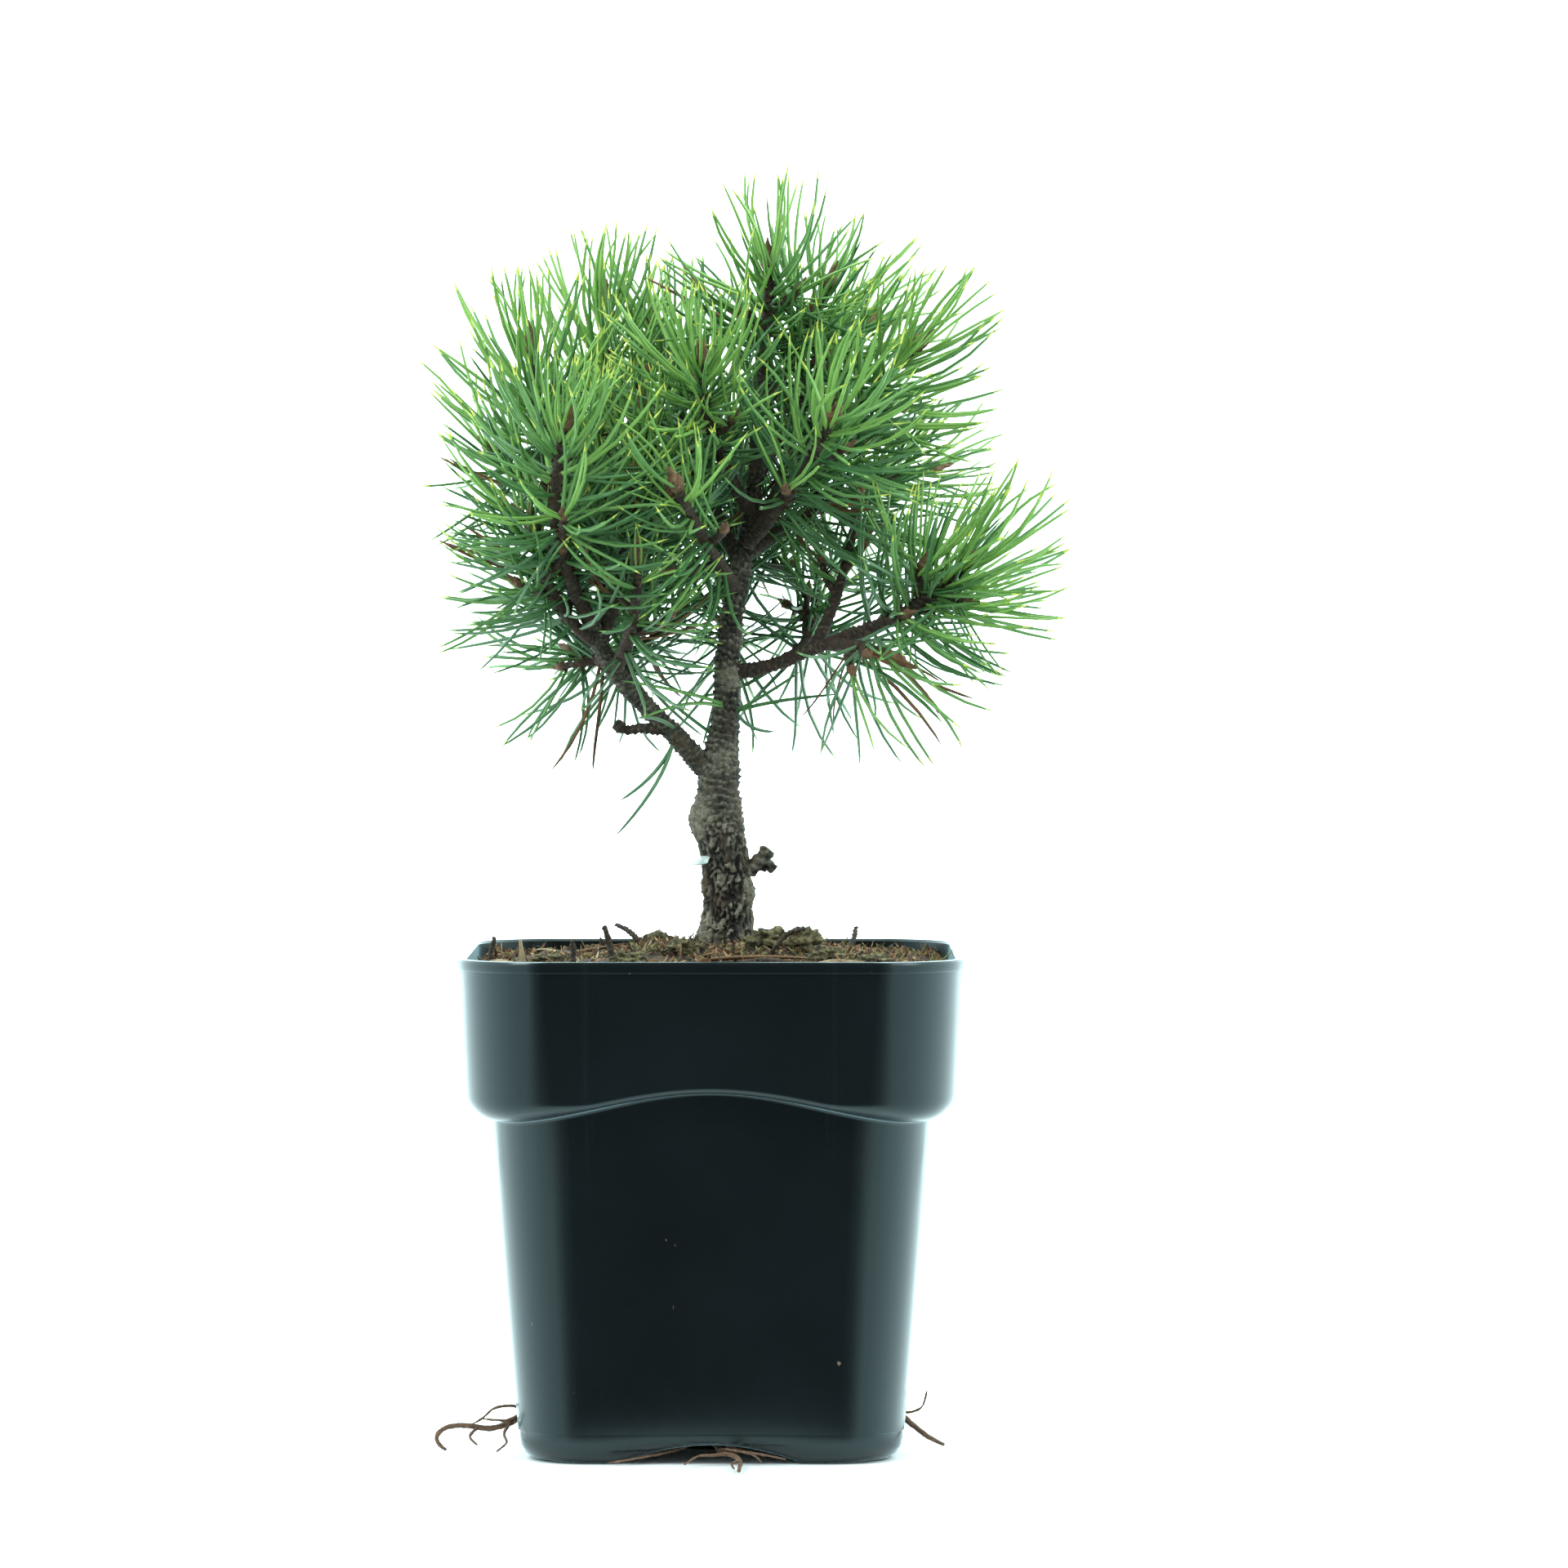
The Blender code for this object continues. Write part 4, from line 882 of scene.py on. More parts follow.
# Each kind of pair: how far it bends, how far its needles lean apart, and how far they twist.
PAIRS = [(0.20, 0.07, 0.2), (0.30, 0.10, -0.3), (0.40, 0.05, 0.4), (0.26, 0.13, -0.2), (0.50, 0.08, 0.3),
         (0.34, 0.11, 0.5)]


def needle_faces(path, radii, zones):
    """A three-sided needle along a path, drawn to a point at its last place."""
    across, up = frames_along(path)
    turns = [2 * math.pi * step / 3 for step in range(3)]
    rings = len(path) - 1
    points = [path[index] + radii[index] * (math.cos(turn) * across[index] + math.sin(turn) * up[index])
              for index in range(rings) for turn in turns]
    last = len(points) - 3
    faces = ring_faces(rings, 3) + [(last + step, last + (step + 1) % 3, last + 3) for step in range(3)]
    face_zones = [zone for zone in zones for _ in range(3)]
    return points + [path[-1]], faces + [(2, 1, 0)], face_zones + [zones[0]]


def needle_pair(name, bend, lean, twist):
    """Two needles from one sheath along +Z. They bend towards +X and lean apart along Y."""
    skin = Skin()
    for side in (-1, 1):
        path = []
        for share, _ in NEEDLE_STATIONS:
            turn = twist * share * side
            x, y = bend * share**2, side * (lean * share * (1 - 0.3 * share) + 0.012)
            path.append((x * math.cos(turn) - y * math.sin(turn), x * math.sin(turn) + y * math.cos(turn),
                         share * (1 - TIP_SINK * bend**2 * share)))
        radii = [width * NEEDLE_RADIUS for _, width in NEEDLE_STATIONS]
        skin.add(*needle_faces(np.array(path) * NEEDLE_LENGTH, radii, NEEDLE_ZONES))
    mesh = skin.mesh(name)
    mesh.attributes.new("zone", "INT", "FACE").data.foreach_set("value", skin.zones)
    return bpy.data.objects.new(name, mesh)


def new_library(name, objects):
    """A collection of shapes that a tree picks from."""
    library = bpy.data.collections.new(name)
    bpy.context.scene.collection.children.link(library)
    for obj in objects:
        library.objects.link(obj)
    return library


def discard(library):
    for obj in list(library.objects):
        bpy.data.objects.remove(obj)
    bpy.data.collections.remove(library)


pair_library = new_library("needle_pairs", [
    needle_pair(f"pair_{index}", *shape) for index, shape in enumerate(PAIRS)
])


# %% Trees that set shapes on points
def new_tree(name, inputs):
    """A Geometry Nodes tree with a geometry input and output and the named inputs."""
    tree = bpy.data.node_groups.new(name, "GeometryNodeTree")
    for label, kind in {"Geometry": "Geometry", **inputs}.items():
        tree.interface.new_socket(label, in_out="INPUT", socket_type="NodeSocket" + kind)
    tree.interface.new_socket("Geometry", in_out="OUTPUT", socket_type="NodeSocketGeometry")
    return tree, add(tree, "NodeGroupInput").outputs, add(tree, "NodeGroupOutput")


def set_on_points(tree, points, library, rotation, scale, index=None):
    """Shapes from a library on points, made real. Without an index each point takes the next shape."""
    shapes = add(tree, "GeometryNodeCollectionInfo", {"Collection": library, 1: True, 2: True}).outputs[0]
    turn = add(tree, "FunctionNodeEulerToRotation", {"Euler": rotation}).outputs[0]
    wires = {"Points": points, "Instance": shapes, "Pick Instance": True, "Rotation": turn, "Scale": scale}
    if index is not None:
        wires["Instance Index"] = index
    stood = add(tree, "GeometryNodeInstanceOnPoints", wires)
    return add(tree, "GeometryNodeRealizeInstances", {0: stood.outputs[0]}).outputs[0]


def named(tree, name, kind):
    return add(tree, "GeometryNodeInputNamedAttribute", {"Name": name}, data_type=kind).outputs["Attribute"]


def set_material(tree, geometry, material, chosen=True):
    wires = {"Geometry": geometry, "Material": material, "Selection": chosen}
    return add(tree, "GeometryNodeSetMaterial", wires).outputs[0]


needle_tree, given, result = new_tree("set_needles", {
    "Pairs": "Collection", "Sheath": "Material", "Blade": "Material", "Tip": "Material",
})
dots = add(needle_tree, "GeometryNodeMeshToPoints", {"Mesh": given["Geometry"]}).outputs[0]
flow = set_on_points(needle_tree, dots, given["Pairs"], named(needle_tree, "aim", "FLOAT_VECTOR"),
                     named(needle_tree, "reach", "FLOAT"), named(needle_tree, "pair", "INT"))
for zone, label in ((SHEATH, "Sheath"), (BLADE, "Blade"), (TIP, "Tip")):
    chosen = add(needle_tree, "FunctionNodeCompare", {2: named(needle_tree, "zone", "INT"), 3: zone},
                 data_type="INT", operation="EQUAL").outputs[0]
    flow = set_material(needle_tree, flow, given[label], chosen)
needle_tree.links.new(flow, result.inputs[0])
print("tree", needle_tree.name, "has", len(needle_tree.nodes), "nodes")


def run_tree(obj, tree, values):
    """The mesh that a tree makes from an object. Inputs are set by their sockets' identifiers."""
    modifier = obj.modifiers.new(tree.name, "NODES")
    modifier.node_group = tree
    for item in tree.interface.items_tree:
        if item.in_out == "INPUT" and item.name in values:
            modifier[item.identifier] = values[item.name]
    mesh = evaluated_mesh(obj)
    obj.modifiers.remove(modifier)
    return mesh


# %% [markdown]
# Where a pair stands decides how it looks. Low on a shoot the pairs are two years old: they stand out or
# hang, and are a bluer, darker green, with a few dry brown ones. Near the bud they are young, point forward
# like a brush and are brighter. The rule deals out a colour to each pair by its age, so that the colours are
# plain ones on plain meshes. A pair that would reach past the space of its shoot's solid is shortened. Low
# and rear shoots are thinner. A few limbs stay in sight, because most pairs that would cross their front are
# left out.

# %% Where the pairs stand
PAIR_SPACING = 0.00116
PAIRS_FROM, TWIG_PAIRS_FROM, PAIRS_TO = 0.14, 0.16, 0.985
# How much wider apart the pairs stand on these shoots.
THINNED = {
    "shoot_right_end": 0.7, "shoot_left_front": 0.85, "shoot_right_low": 1.8, "shoot_right_rear": 2.1,
    "shoot_right_back": 1.3, "shoot_middle_back": 1.2, "shoot_right_rising": 1.5, "shoot_back_low": 1.5,
    "shoot_left_low": 1.2, "shoot_left_rear": 1.3, "shoot_left_inner": 1.4, "shoot_front_low": 2.0,
    "shoot_right_middle": 1.2,
}
# The shares of these stems, and the heights of the trunk, that stay in sight.
PARTED = {"shoot_left_front": (0.0, 0.80), "shoot_middle_front": (0.0, 0.75), "shoot_right_end": (0.0, 0.50)}
PARTED_TRUNK_FROM, PARTED_TRUNK_TO = 0.232, 0.300
PARTING_WIDTH, PARTING_CHANCE = 0.0030, 0.88
FOOT_ANGLE, TIP_ANGLE, ANGLE_CURVE, ANGLE_SPREAD = 86.0, 23.0, 2.4, 5.0
LONGEST, SHORTEST, SHORTENING, TWIG_REACH = (0.88, 1.06), 0.5, 0.05, 0.86
TIP_CLEARANCE = 0.002
DRY_AGE, DRY_CHANCE, AGE_SPREAD = 0.74, 0.05, 0.16
AGES = (("bright", 0.28), ("green", 0.62), ("deep", 1.0), ("old", math.inf))
KINDS = ("bright", "green", "deep", "old", "dry")


def deal_kind(ripe, droop, chance):
    """Which colour a pair has, from its place along the shoot: 0 at the old end and 1 at the bud."""
    age = 1 - ripe + 0.8 * droop + chance.gauss(0, AGE_SPREAD)
    if age > DRY_AGE and chance.random() < DRY_CHANCE:
        return "dry"
    return next(kind for kind, oldest in AGES if age < oldest)


def parted_points():
    """Points on the limbs that stay in sight."""
    points = [np.array([point_at(shoots[name][0], share) for share in np.linspace(*span, 24)])
              for name, span in PARTED.items()]
    trunk_points = carriers["trunk"][:, :3]
    shown = (trunk_points[:, 2] > PARTED_TRUNK_FROM) & (trunk_points[:, 2] < PARTED_TRUNK_TO)
    return np.vstack([*points, trunk_points[shown]])


def crosses_parting(foot, reach, parted):
    """Whether a pair passes close in front of a limb that stays in sight."""
    for share in (0.15, 0.30, 0.45, 0.60, 0.75, 0.90):
        place = foot + reach * share
        beside = np.hypot(parted[:, 0] - place.x, parted[:, 2] - place.z)
        if ((beside < PARTING_WIDTH) & (place.y < parted[:, 1] - 0.001)).any():
            return True
    return False


def inside(place, low, high):
    return all(low[k] + TIP_CLEARANCE < place[k] < high[k] - TIP_CLEARANCE for k in range(3))


def aim_of(heading, towards, roll):
    """The turn that takes +Z to heading and +X to the side of it that faces towards, with a little roll."""
    side = towards - towards.dot(heading) * heading
    side = side.normalized() if side.length > 1e-4 else heading.orthogonal().normalized()
    side = Matrix.Rotation(roll, 3, heading) @ side
    return Matrix((side, heading.cross(side), heading)).transposed().to_euler()


def pairs_on(name, lines, droop, chance):
    """One row for each pair of a shoot: its colour, foot, aim, reach and kind of pair."""
    low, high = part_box(name)
    spacing = PAIR_SPACING * THINNED.get(name, 1.0)
    rows = []
    for order, line in enumerate(lines):
        length = lengths_along(line[:, :3])[-1]
        start = TWIG_PAIRS_FROM if order else PAIRS_FROM
        count = int(length * (1 - start) / spacing)
        for index in range(count):
            ripe = (index + chance.random()) / count
            share = start + (PAIRS_TO - start) * ripe
            foot = Vector(point_at(line, share))
            ahead, astern = point_at(line, min(share + 0.05, 1.0)), point_at(line, share - 0.05)
            forward = Vector(ahead - astern).normalized()
            side = turned(forward, index * GOLDEN_ANGLE)
            opening = FOOT_ANGLE + (TIP_ANGLE - FOOT_ANGLE) * ripe**ANGLE_CURVE
            opening = math.radians(opening + chance.gauss(0, ANGLE_SPREAD))
            heading = forward * math.cos(opening) + side * math.sin(opening)
            heading.z -= droop * (1 - 0.7 * ripe) * chance.uniform(0.5, 1.3)
            heading.normalize()
            towards = forward + Vector((0, 0, 0.25 - 1.4 * droop * (1 - ripe)))
            aim = aim_of(heading, towards, chance.gauss(0, 0.35))
            pair = chance.randrange(len(PAIRS))
            bend = PAIRS[pair][0]
            blade = aim.to_matrix() @ Vector((bend, 0, 1 - TIP_SINK * bend**2)) * NEEDLE_LENGTH
            reach = chance.uniform(*LONGEST) * (TWIG_REACH if order else 1.0)
            while reach > SHORTEST and not inside(foot + blade * reach, low, high):
                reach -= SHORTENING
            hidden = crosses_parting(foot, blade * reach, parted) and chance.random() < PARTING_CHANCE
            if reach > SHORTEST and not hidden:
                rows.append((deal_kind(ripe, droop, chance), foot, aim, reach, pair))
    return rows


rows = []
parted = parted_points()
for name, lines in shoots.items():
    rows += pairs_on(name, lines, SHOOTS[name][5], chance)
print(len(rows), "pairs of needles:", {kind: sum(row[0] == kind for row in rows) for kind in KINDS})


# %% Needle finishes
def needle_finish(name, dark, light, roughness=0.42):
    """A waxy green that drifts a little between two tones over the crown."""
    stops = [(0.35, dark), (0.65, light)]
    material, shader = mottled(name, roughness, (0.013, 3.0), stops, (0.0010, 1.0, 0.5, 0.00005, 0.3))
    shader.inputs["Specular IOR Level"].default_value = 0.25
    return material


blades = {
    "bright": needle_finish("bright_needles", (0.162, 0.345, 0.076), (0.252, 0.455, 0.108)),
    "green": needle_finish("green_needles", (0.094, 0.232, 0.062), (0.158, 0.322, 0.090)),
    "deep": needle_finish("deep_green_needles", (0.044, 0.135, 0.042), (0.088, 0.210, 0.070)),
    "old": needle_finish("blue_green_needles", (0.076, 0.185, 0.082), (0.150, 0.270, 0.145)),
    "dry": needle_finish("dry_needles", (0.085, 0.042, 0.018), (0.200, 0.110, 0.048), 0.7),
}
yellow = needle_finish("yellow_needle_tips", (0.400, 0.520, 0.070), (0.560, 0.640, 0.120))
tips = {"bright": yellow, "green": yellow, "dry": blades["dry"]}
sheath_brown = needle_finish("needle_sheaths", (0.060, 0.038, 0.020), (0.120, 0.080, 0.045), 0.8)
print(len(blades), "needle finishes")

# %% Set the needles
MOST_PAIRS = 2300


def point_cloud(rows):
    """Loose points that carry, for each pair, its aim, reach and kind of pair."""
    _, feet, aims, reaches, pairs = zip(*rows)
    mesh = bpy.data.meshes.new("feet")
    mesh.from_pydata(feet, [], [])
    for label, kind, field, values in (
        ("aim", "FLOAT_VECTOR", "vector", [angle for aim in aims for angle in aim]),
        ("reach", "FLOAT", "value", reaches), ("pair", "INT", "value", pairs),
    ):
        mesh.attributes.new(label, kind, "POINT").data.foreach_set(field, values)
    cloud = bpy.data.objects.new("feet", mesh)
    bpy.context.scene.collection.objects.link(cloud)
    return cloud


for kind in KINDS:
    chosen = [row for row in rows if row[0] == kind]
    batches = math.ceil(len(chosen) / MOST_PAIRS)
    for batch in range(batches):
        cloud = point_cloud(chosen[batch::batches])
        mesh = run_tree(cloud, needle_tree, {
            "Pairs": pair_library, "Sheath": sheath_brown, "Blade": blades[kind],
            "Tip": tips.get(kind, blades["bright"]),
        })
        bpy.data.objects.remove(cloud)
        piece = new_piece(f"{kind}_needles_{batch + 1}", mesh, [], "needles")
        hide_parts(*SHOOT_NODES)
        print(piece.name, len(mesh.polygons), "faces")
discard(pair_library)

# %% [markdown]
# ## Buds
#
# Each shoot ends in a resting bud, next year's growth wrapped in brown scales. It is a small spindle with
# the same saw-toothed rule as the bark, only tighter. Side buds crowd round the bud of a strong shoot.

# %% Buds
BUD_LENGTH, BUD_RADIUS = 0.0102, 0.0024
BUD_SCALES = 0.0011
SIDE_BUD_SIZE, TWIG_BUD_SIZE = 0.55, 0.6


def bud_push(along, turn, radius, place):
    return 0.0006 * (scales(along, turn, BUD_SCALES) - 0.25) * min(radius / 0.001, 1.0)


def bud_line(foot, heading, scale):
    """A spindle: slim at its foot, fullest at a quarter of its length and pointed."""
    rows = []
    for t in np.linspace(0, 1, 13):
        width = 0.55 + 0.45 * math.sin(math.pi * min(t * 1.6, 1) ** 0.8)
        width = BUD_RADIUS * scale * width * (1 - t**3) + 0.00015
        rows.append((*(foot + heading * BUD_LENGTH * scale * t), width))
    return np.array(rows)


bud_tubes = []
for lines in shoots.values():
    for order, line in enumerate(lines):
        heading = Vector(line[-1][:3] - line[-2][:3]).normalized()
        foot = line[-1][:3] - np.array(heading) * 0.0015
        for side_bud in range(1 if order else 3):
            aim = heading.copy()
            if side_bud:
                aim = (aim + 0.45 * turned(heading, side_bud * 2.6 + len(lines))).normalized()
            scale = (SIDE_BUD_SIZE if side_bud else 1.0) * (TWIG_BUD_SIZE if order else 1.0)
            bud_tubes.append((bud_line(foot, np.array(aim), scale), 12, bud_push))
# As on the bark, the darkest colour goes where the scales' relief is low, partly as painted shade.
bud_brown = bark_finish("bud_scales", (0.060, 0.030, 0.016), ((0.160, 0.085, 0.042), (0.360, 0.230, 0.130)),
                        (0.200, 0.100, 0.050), 0.60)
buds = tubes_piece("resting_buds", bud_tubes, None, bud_brown, "twig_bark")
print(len(bud_tubes), "buds:", len(buds.data.polygons), "faces")

# %% [markdown]
# ## Potting mix
#
# The mix is a moss-grown heap of bark fibre and peat. The CAD solid gives its mound. Thousands of crumbs are
# scattered over it by Geometry Nodes: points on its top faces, a crumb on each, turned and scaled at random
# from a fixed seed. Four runs with different seeds and finishes make dark peat, rust fibre, moss and pale
# chips.

# %% Crumb shapes
CRUMB_SIZES = metres([
    (1.4, 0.8, 0.4), (2.4, 0.5, 0.3), (1, 0.8, 0.6), (3.4, 0.4, 0.3), (1.8, 1.3, 0.3), (4.6, 0.3, 0.2),
])


def rough_ball(splits, centre, size, push):
    """A ball of triangles, pushed in and out by push and stretched to size, as a mesh form."""
    form = bmesh.new()
    bmesh.ops.create_icosphere(form, subdivisions=splits, radius=1.0)
    for vertex in form.verts:
        out = push(vertex.co)
        vertex.co = Vector(c + part * out * reach for c, part, reach in zip(centre, vertex.co, size))
    return form


def crumb(name, size, seed):
    """A small rough lump, an icosahedron pushed in and out by noise."""
    form = rough_ball(1, (0, 0, 0), size, lambda co: 1 + 0.7 * noise.noise(co * 1.7 + Vector((seed, 0, 0))))
    mesh = bpy.data.meshes.new(name)
    form.to_mesh(mesh)
    form.free()
    return bpy.data.objects.new(name, mesh)


crumb_library = new_library("crumbs", [
    crumb(f"crumb_{index}", size, 7.3 * index) for index, size in enumerate(CRUMB_SIZES)
])
print(len(CRUMB_SIZES), "kinds of crumb")

# %% Tree that scatters crumbs
MOST_TURN = (1.1, 1.1, 3.15)
crumb_tree, given, result = new_tree("scatter_crumbs", {
    "Crumbs": "Collection", "Density": "Float", "Seed": "Int", "Largest": "Float", "Finish": "Material",
})
seed = given["Seed"]
spots = add(crumb_tree, "GeometryNodeDistributePointsOnFaces",
            {"Mesh": given["Geometry"], "Density": given["Density"], "Seed": seed}).outputs[0]
turn_range = {0: [-turn for turn in MOST_TURN], 1: MOST_TURN, "Seed": seed}
turns = add(crumb_tree, "FunctionNodeRandomValue", turn_range, data_type="FLOAT_VECTOR").outputs[0]
size_range = {2: 0.45, 3: given["Largest"], "Seed": seed}
sizes = add(crumb_tree, "FunctionNodeRandomValue", size_range, data_type="FLOAT").outputs[1]
crumbs = set_on_points(crumb_tree, spots, given["Crumbs"], turns, sizes)
crumb_tree.links.new(set_material(crumb_tree, crumbs, given["Finish"]), result.inputs[0])
print("tree", crumb_tree.name, "has", len(crumb_tree.nodes), "nodes")

# %% Mix surface
SURFACE_STEP, SURFACE_HALF, WALL_CLEARANCE = 0.0015, 0.0715, 0.0012
MIX_EDGE_HEIGHT, MIX_MOUND_HEIGHT, MOUND_REACH = 0.1450, 0.1517, 0.070
TRUNK_FOOT = (0.0045, 0.0)


def mix_height(x, y):
    """The top of the mix: level near the wall, mounded to the trunk and lumpy."""
    mound = soft(1 - math.hypot(x - TRUNK_FOOT[0], y - TRUNK_FOOT[1]) / MOUND_REACH)
    lumps = 0.0026 * noise.noise(Vector((x, y, 0)) / 0.010) + 0.0018 * noise.noise(Vector((x, y, 3)) / 0.0038)
    return MIX_EDGE_HEIGHT + 0.0004 + (MIX_MOUND_HEIGHT - MIX_EDGE_HEIGHT) * mound + lumps


def in_pot(x, y):
    reach = square_reach(math.atan2(y, x), SURFACE_HALF - WALL_CLEARANCE, RIM_CORNER - 0.003)
    return math.hypot(x, y) < reach


steps = int(2 * SURFACE_HALF / SURFACE_STEP)
grid, spots = {}, []
for i in range(steps + 1):
    for j in range(steps + 1):
        x, y = -SURFACE_HALF + i * SURFACE_STEP, -SURFACE_HALF + j * SURFACE_STEP
        if in_pot(x, y):
            grid[i, j] = len(spots)
            spots.append((x, y, mix_height(x, y)))
cells = [[grid.get((i + a, j + b)) for a, b in ((0, 0), (1, 0), (1, 1), (0, 1))] for i, j in grid]
surface = Skin()
surface.add(spots, [cell for cell in cells if None not in cell])
print("mix surface:", len(surface.faces), "faces")


# %% Mix finishes
def mix_finish(name, dark, middle, light, size=0.004):
    stops = [(0.32, dark), (0.5, middle), (0.66, light)]
    return mottled(name, 0.95, (size, 4.0), stops, (0.0006, 4.0, 0.7, 0.0003, 0.8))[0]


peat = mix_finish("dark_peat", (0.016, 0.010, 0.007), (0.050, 0.030, 0.018), (0.100, 0.062, 0.036))
rust_fibre = mix_finish("rust_fibre", (0.110, 0.050, 0.022), (0.235, 0.120, 0.055), (0.400, 0.250, 0.130))
moss = mix_finish("dry_moss", (0.055, 0.055, 0.018), (0.140, 0.130, 0.045), (0.300, 0.270, 0.110))
chips = mix_finish("pale_chips", (0.200, 0.140, 0.080), (0.360, 0.280, 0.170), (0.520, 0.440, 0.300))
mix = frame["nodes"]["potting_mix"]
mix.data.materials.clear()
mix.data.materials.append(peat)
print("four mix finishes ready")

# %% Scatter the crumbs
cover = surface.piece("mix_top", peat, "potting_mix")
for name, finish, density, largest, seed in (
    ("peat_crumbs", peat, 110000.0, 1.5, 3), ("rust_crumbs", rust_fibre, 130000.0, 1.4, 5),
    ("moss_crumbs", moss, 120000.0, 1.4, 8), ("pale_crumbs", chips, 14000.0, 1.2, 11),
):
    mesh = run_tree(cover, crumb_tree, {"Crumbs": crumb_library, "Density": density, "Seed": seed,
                                        "Largest": largest, "Finish": finish})
    new_piece(name, mesh, [], "potting_mix")
    print(name, len(mesh.polygons), "faces")
discard(crumb_library)

# %% [markdown]
# ## Small finds on the mix, and roots
#
# A few things are large enough to be seen one by one: broken twigs that stand in the mix, dry strips of leaf,
# one of which curls inside the rim, and chunks of bark. Below, thin brown roots have found their way out
# through the slots and the raised floor. Their tables are in millimetres.

# %% Sticks, strips and chunks
STICKS = [
    [(-66, -50, 145, 0.8), (-65.5, -51, 150, 0.7), (-64, -52, 156.3, 0.6)],
    [(-41.5, -46, 146, 0.9), (-40.8, -47, 151, 0.8), (-41.2, -48, 155.2, 0.5)],
    [(-29.2, -40, 147.5, 1.1), (-30, -41, 153, 0.9), (-31.8, -42, 159.2, 0.7)],
    [(18, -30, 151, 0.6), (23, -32, 156.5, 0.6), (28, -34, 158, 0.5)],
    [(6, -58, 148, 0.7), (16, -61, 150, 0.8), (29, -64, 148, 0.7)],
    [(-20, 30, 149, 0.9), (-26, 36, 154, 0.8), (-30, 41, 156, 0.6)],
    [(40, 38, 147, 0.8), (43, 44, 151, 0.7), (44, 50, 154.5, 0.6)],
]
STRIPS = [
    ([(-70, -56, 145.5), (-66.5, -57, 148.3), (-61, -57, 149), (-54, -57, 147)], 1.8, 0.7),
    ([(-56, -50, 145), (-55.6, -51, 149), (-56.2, -52, 155.8)], 2.2, 0.4),
    ([(30, -55, 148), (37, -56, 149.2), (46, -58, 148.4), (52, -58, 146.4)], 1.7, 1.4),
    ([(-45, 20, 147.8), (-52, 30, 149), (-56, 40, 146.6)], 1.6, 1.6),
    ([(30, 30, 149), (40, 22, 149.4), (52, 20, 147)], 1.6, 1.5),
]
CHUNKS = [
    ((27, -20, 154.5), (4.6, 3.8, 3.6), 2.0), ((17, -18, 154.5), (5.2, 3, 2.6), 5.0),
    ((34, -34, 150.6), (5, 3, 2.2), 9.0), ((-9, -26, 152), (4.2, 2.8, 2.2), 4.0),
    ((-25, -44, 149.5), (4, 2.6, 1.8), 12.0), ((48, -46, 149), (4.6, 2.6, 1.8), 15.0),
    ((-48, -40, 149), (5, 3, 1.8), 17.0), ((-15, 34, 151), (5, 4, 2.4), 21.0),
]
STRIP_THICKNESS = 0.0004


def strip(path, width, thickness, roll):
    """A thin, slightly hollow strip along a path, as a dry blade of leaf."""
    across, up = frames_along(path)
    points = []
    for index, centre in enumerate(path):
        share = index / (len(path) - 1)
        taper = math.sin(math.pi * (0.12 + 0.80 * share)) ** 0.6
        turn = roll * share
        side = math.cos(turn) * across[index] + math.sin(turn) * up[index]
        face = -math.sin(turn) * across[index] + math.cos(turn) * up[index]
        points.append([centre + side * a * width / 2 * taper + face * b * thickness
                       for a, b in ((-1, 0.2), (0, -0.2), (1, 0.2), (1, 1.2), (0, 0.8), (-1, 1.2))])
    return loft(points)


def chunk(centre, size, seed):
    """A rough chunk: a finely split ball pushed about by coarse and fine noise."""
    shift = Vector((seed, 0, 0))
    form = rough_ball(4, centre, size, lambda co: 1 + sum(
        depth * noise.noise(co * pitch + shift) for depth, pitch in ((0.9, 1.3), (0.45, 4), (0.25, 9))))
    points = [tuple(vertex.co) for vertex in form.verts]
    faces = [tuple(vertex.index for vertex in face.verts) for face in form.faces]
    form.free()
    return points, faces


stick_tubes = [(metres(line), 10, stem_push) for line in STICKS]
sticks = tubes_piece("broken_twigs", stick_tubes, 0.6 * mm, twig_bark, "potting_mix")
strip_skin, chunk_skin = Skin(), Skin()
for path, width, roll in STRIPS:
    strip_skin.add(*strip(through_points(metres(path), 0.8 * mm), width * mm, STRIP_THICKNESS, roll))
strips = strip_skin.piece("leaf_strips", chips, "potting_mix")
for centre, size, seed in CHUNKS:
    chunk_skin.add(*chunk(metres(centre), metres(size), seed))
mossy_bark = mix_finish("mossy_bark", (0.022, 0.018, 0.010), (0.085, 0.075, 0.034), (0.230, 0.200, 0.105),
                        0.0016)
chunks = chunk_skin.piece("bark_chunks", mossy_bark, "potting_mix")
print("sticks, strips and chunks:", sum(len(o.data.polygons) for o in (sticks, strips, chunks)), "faces")

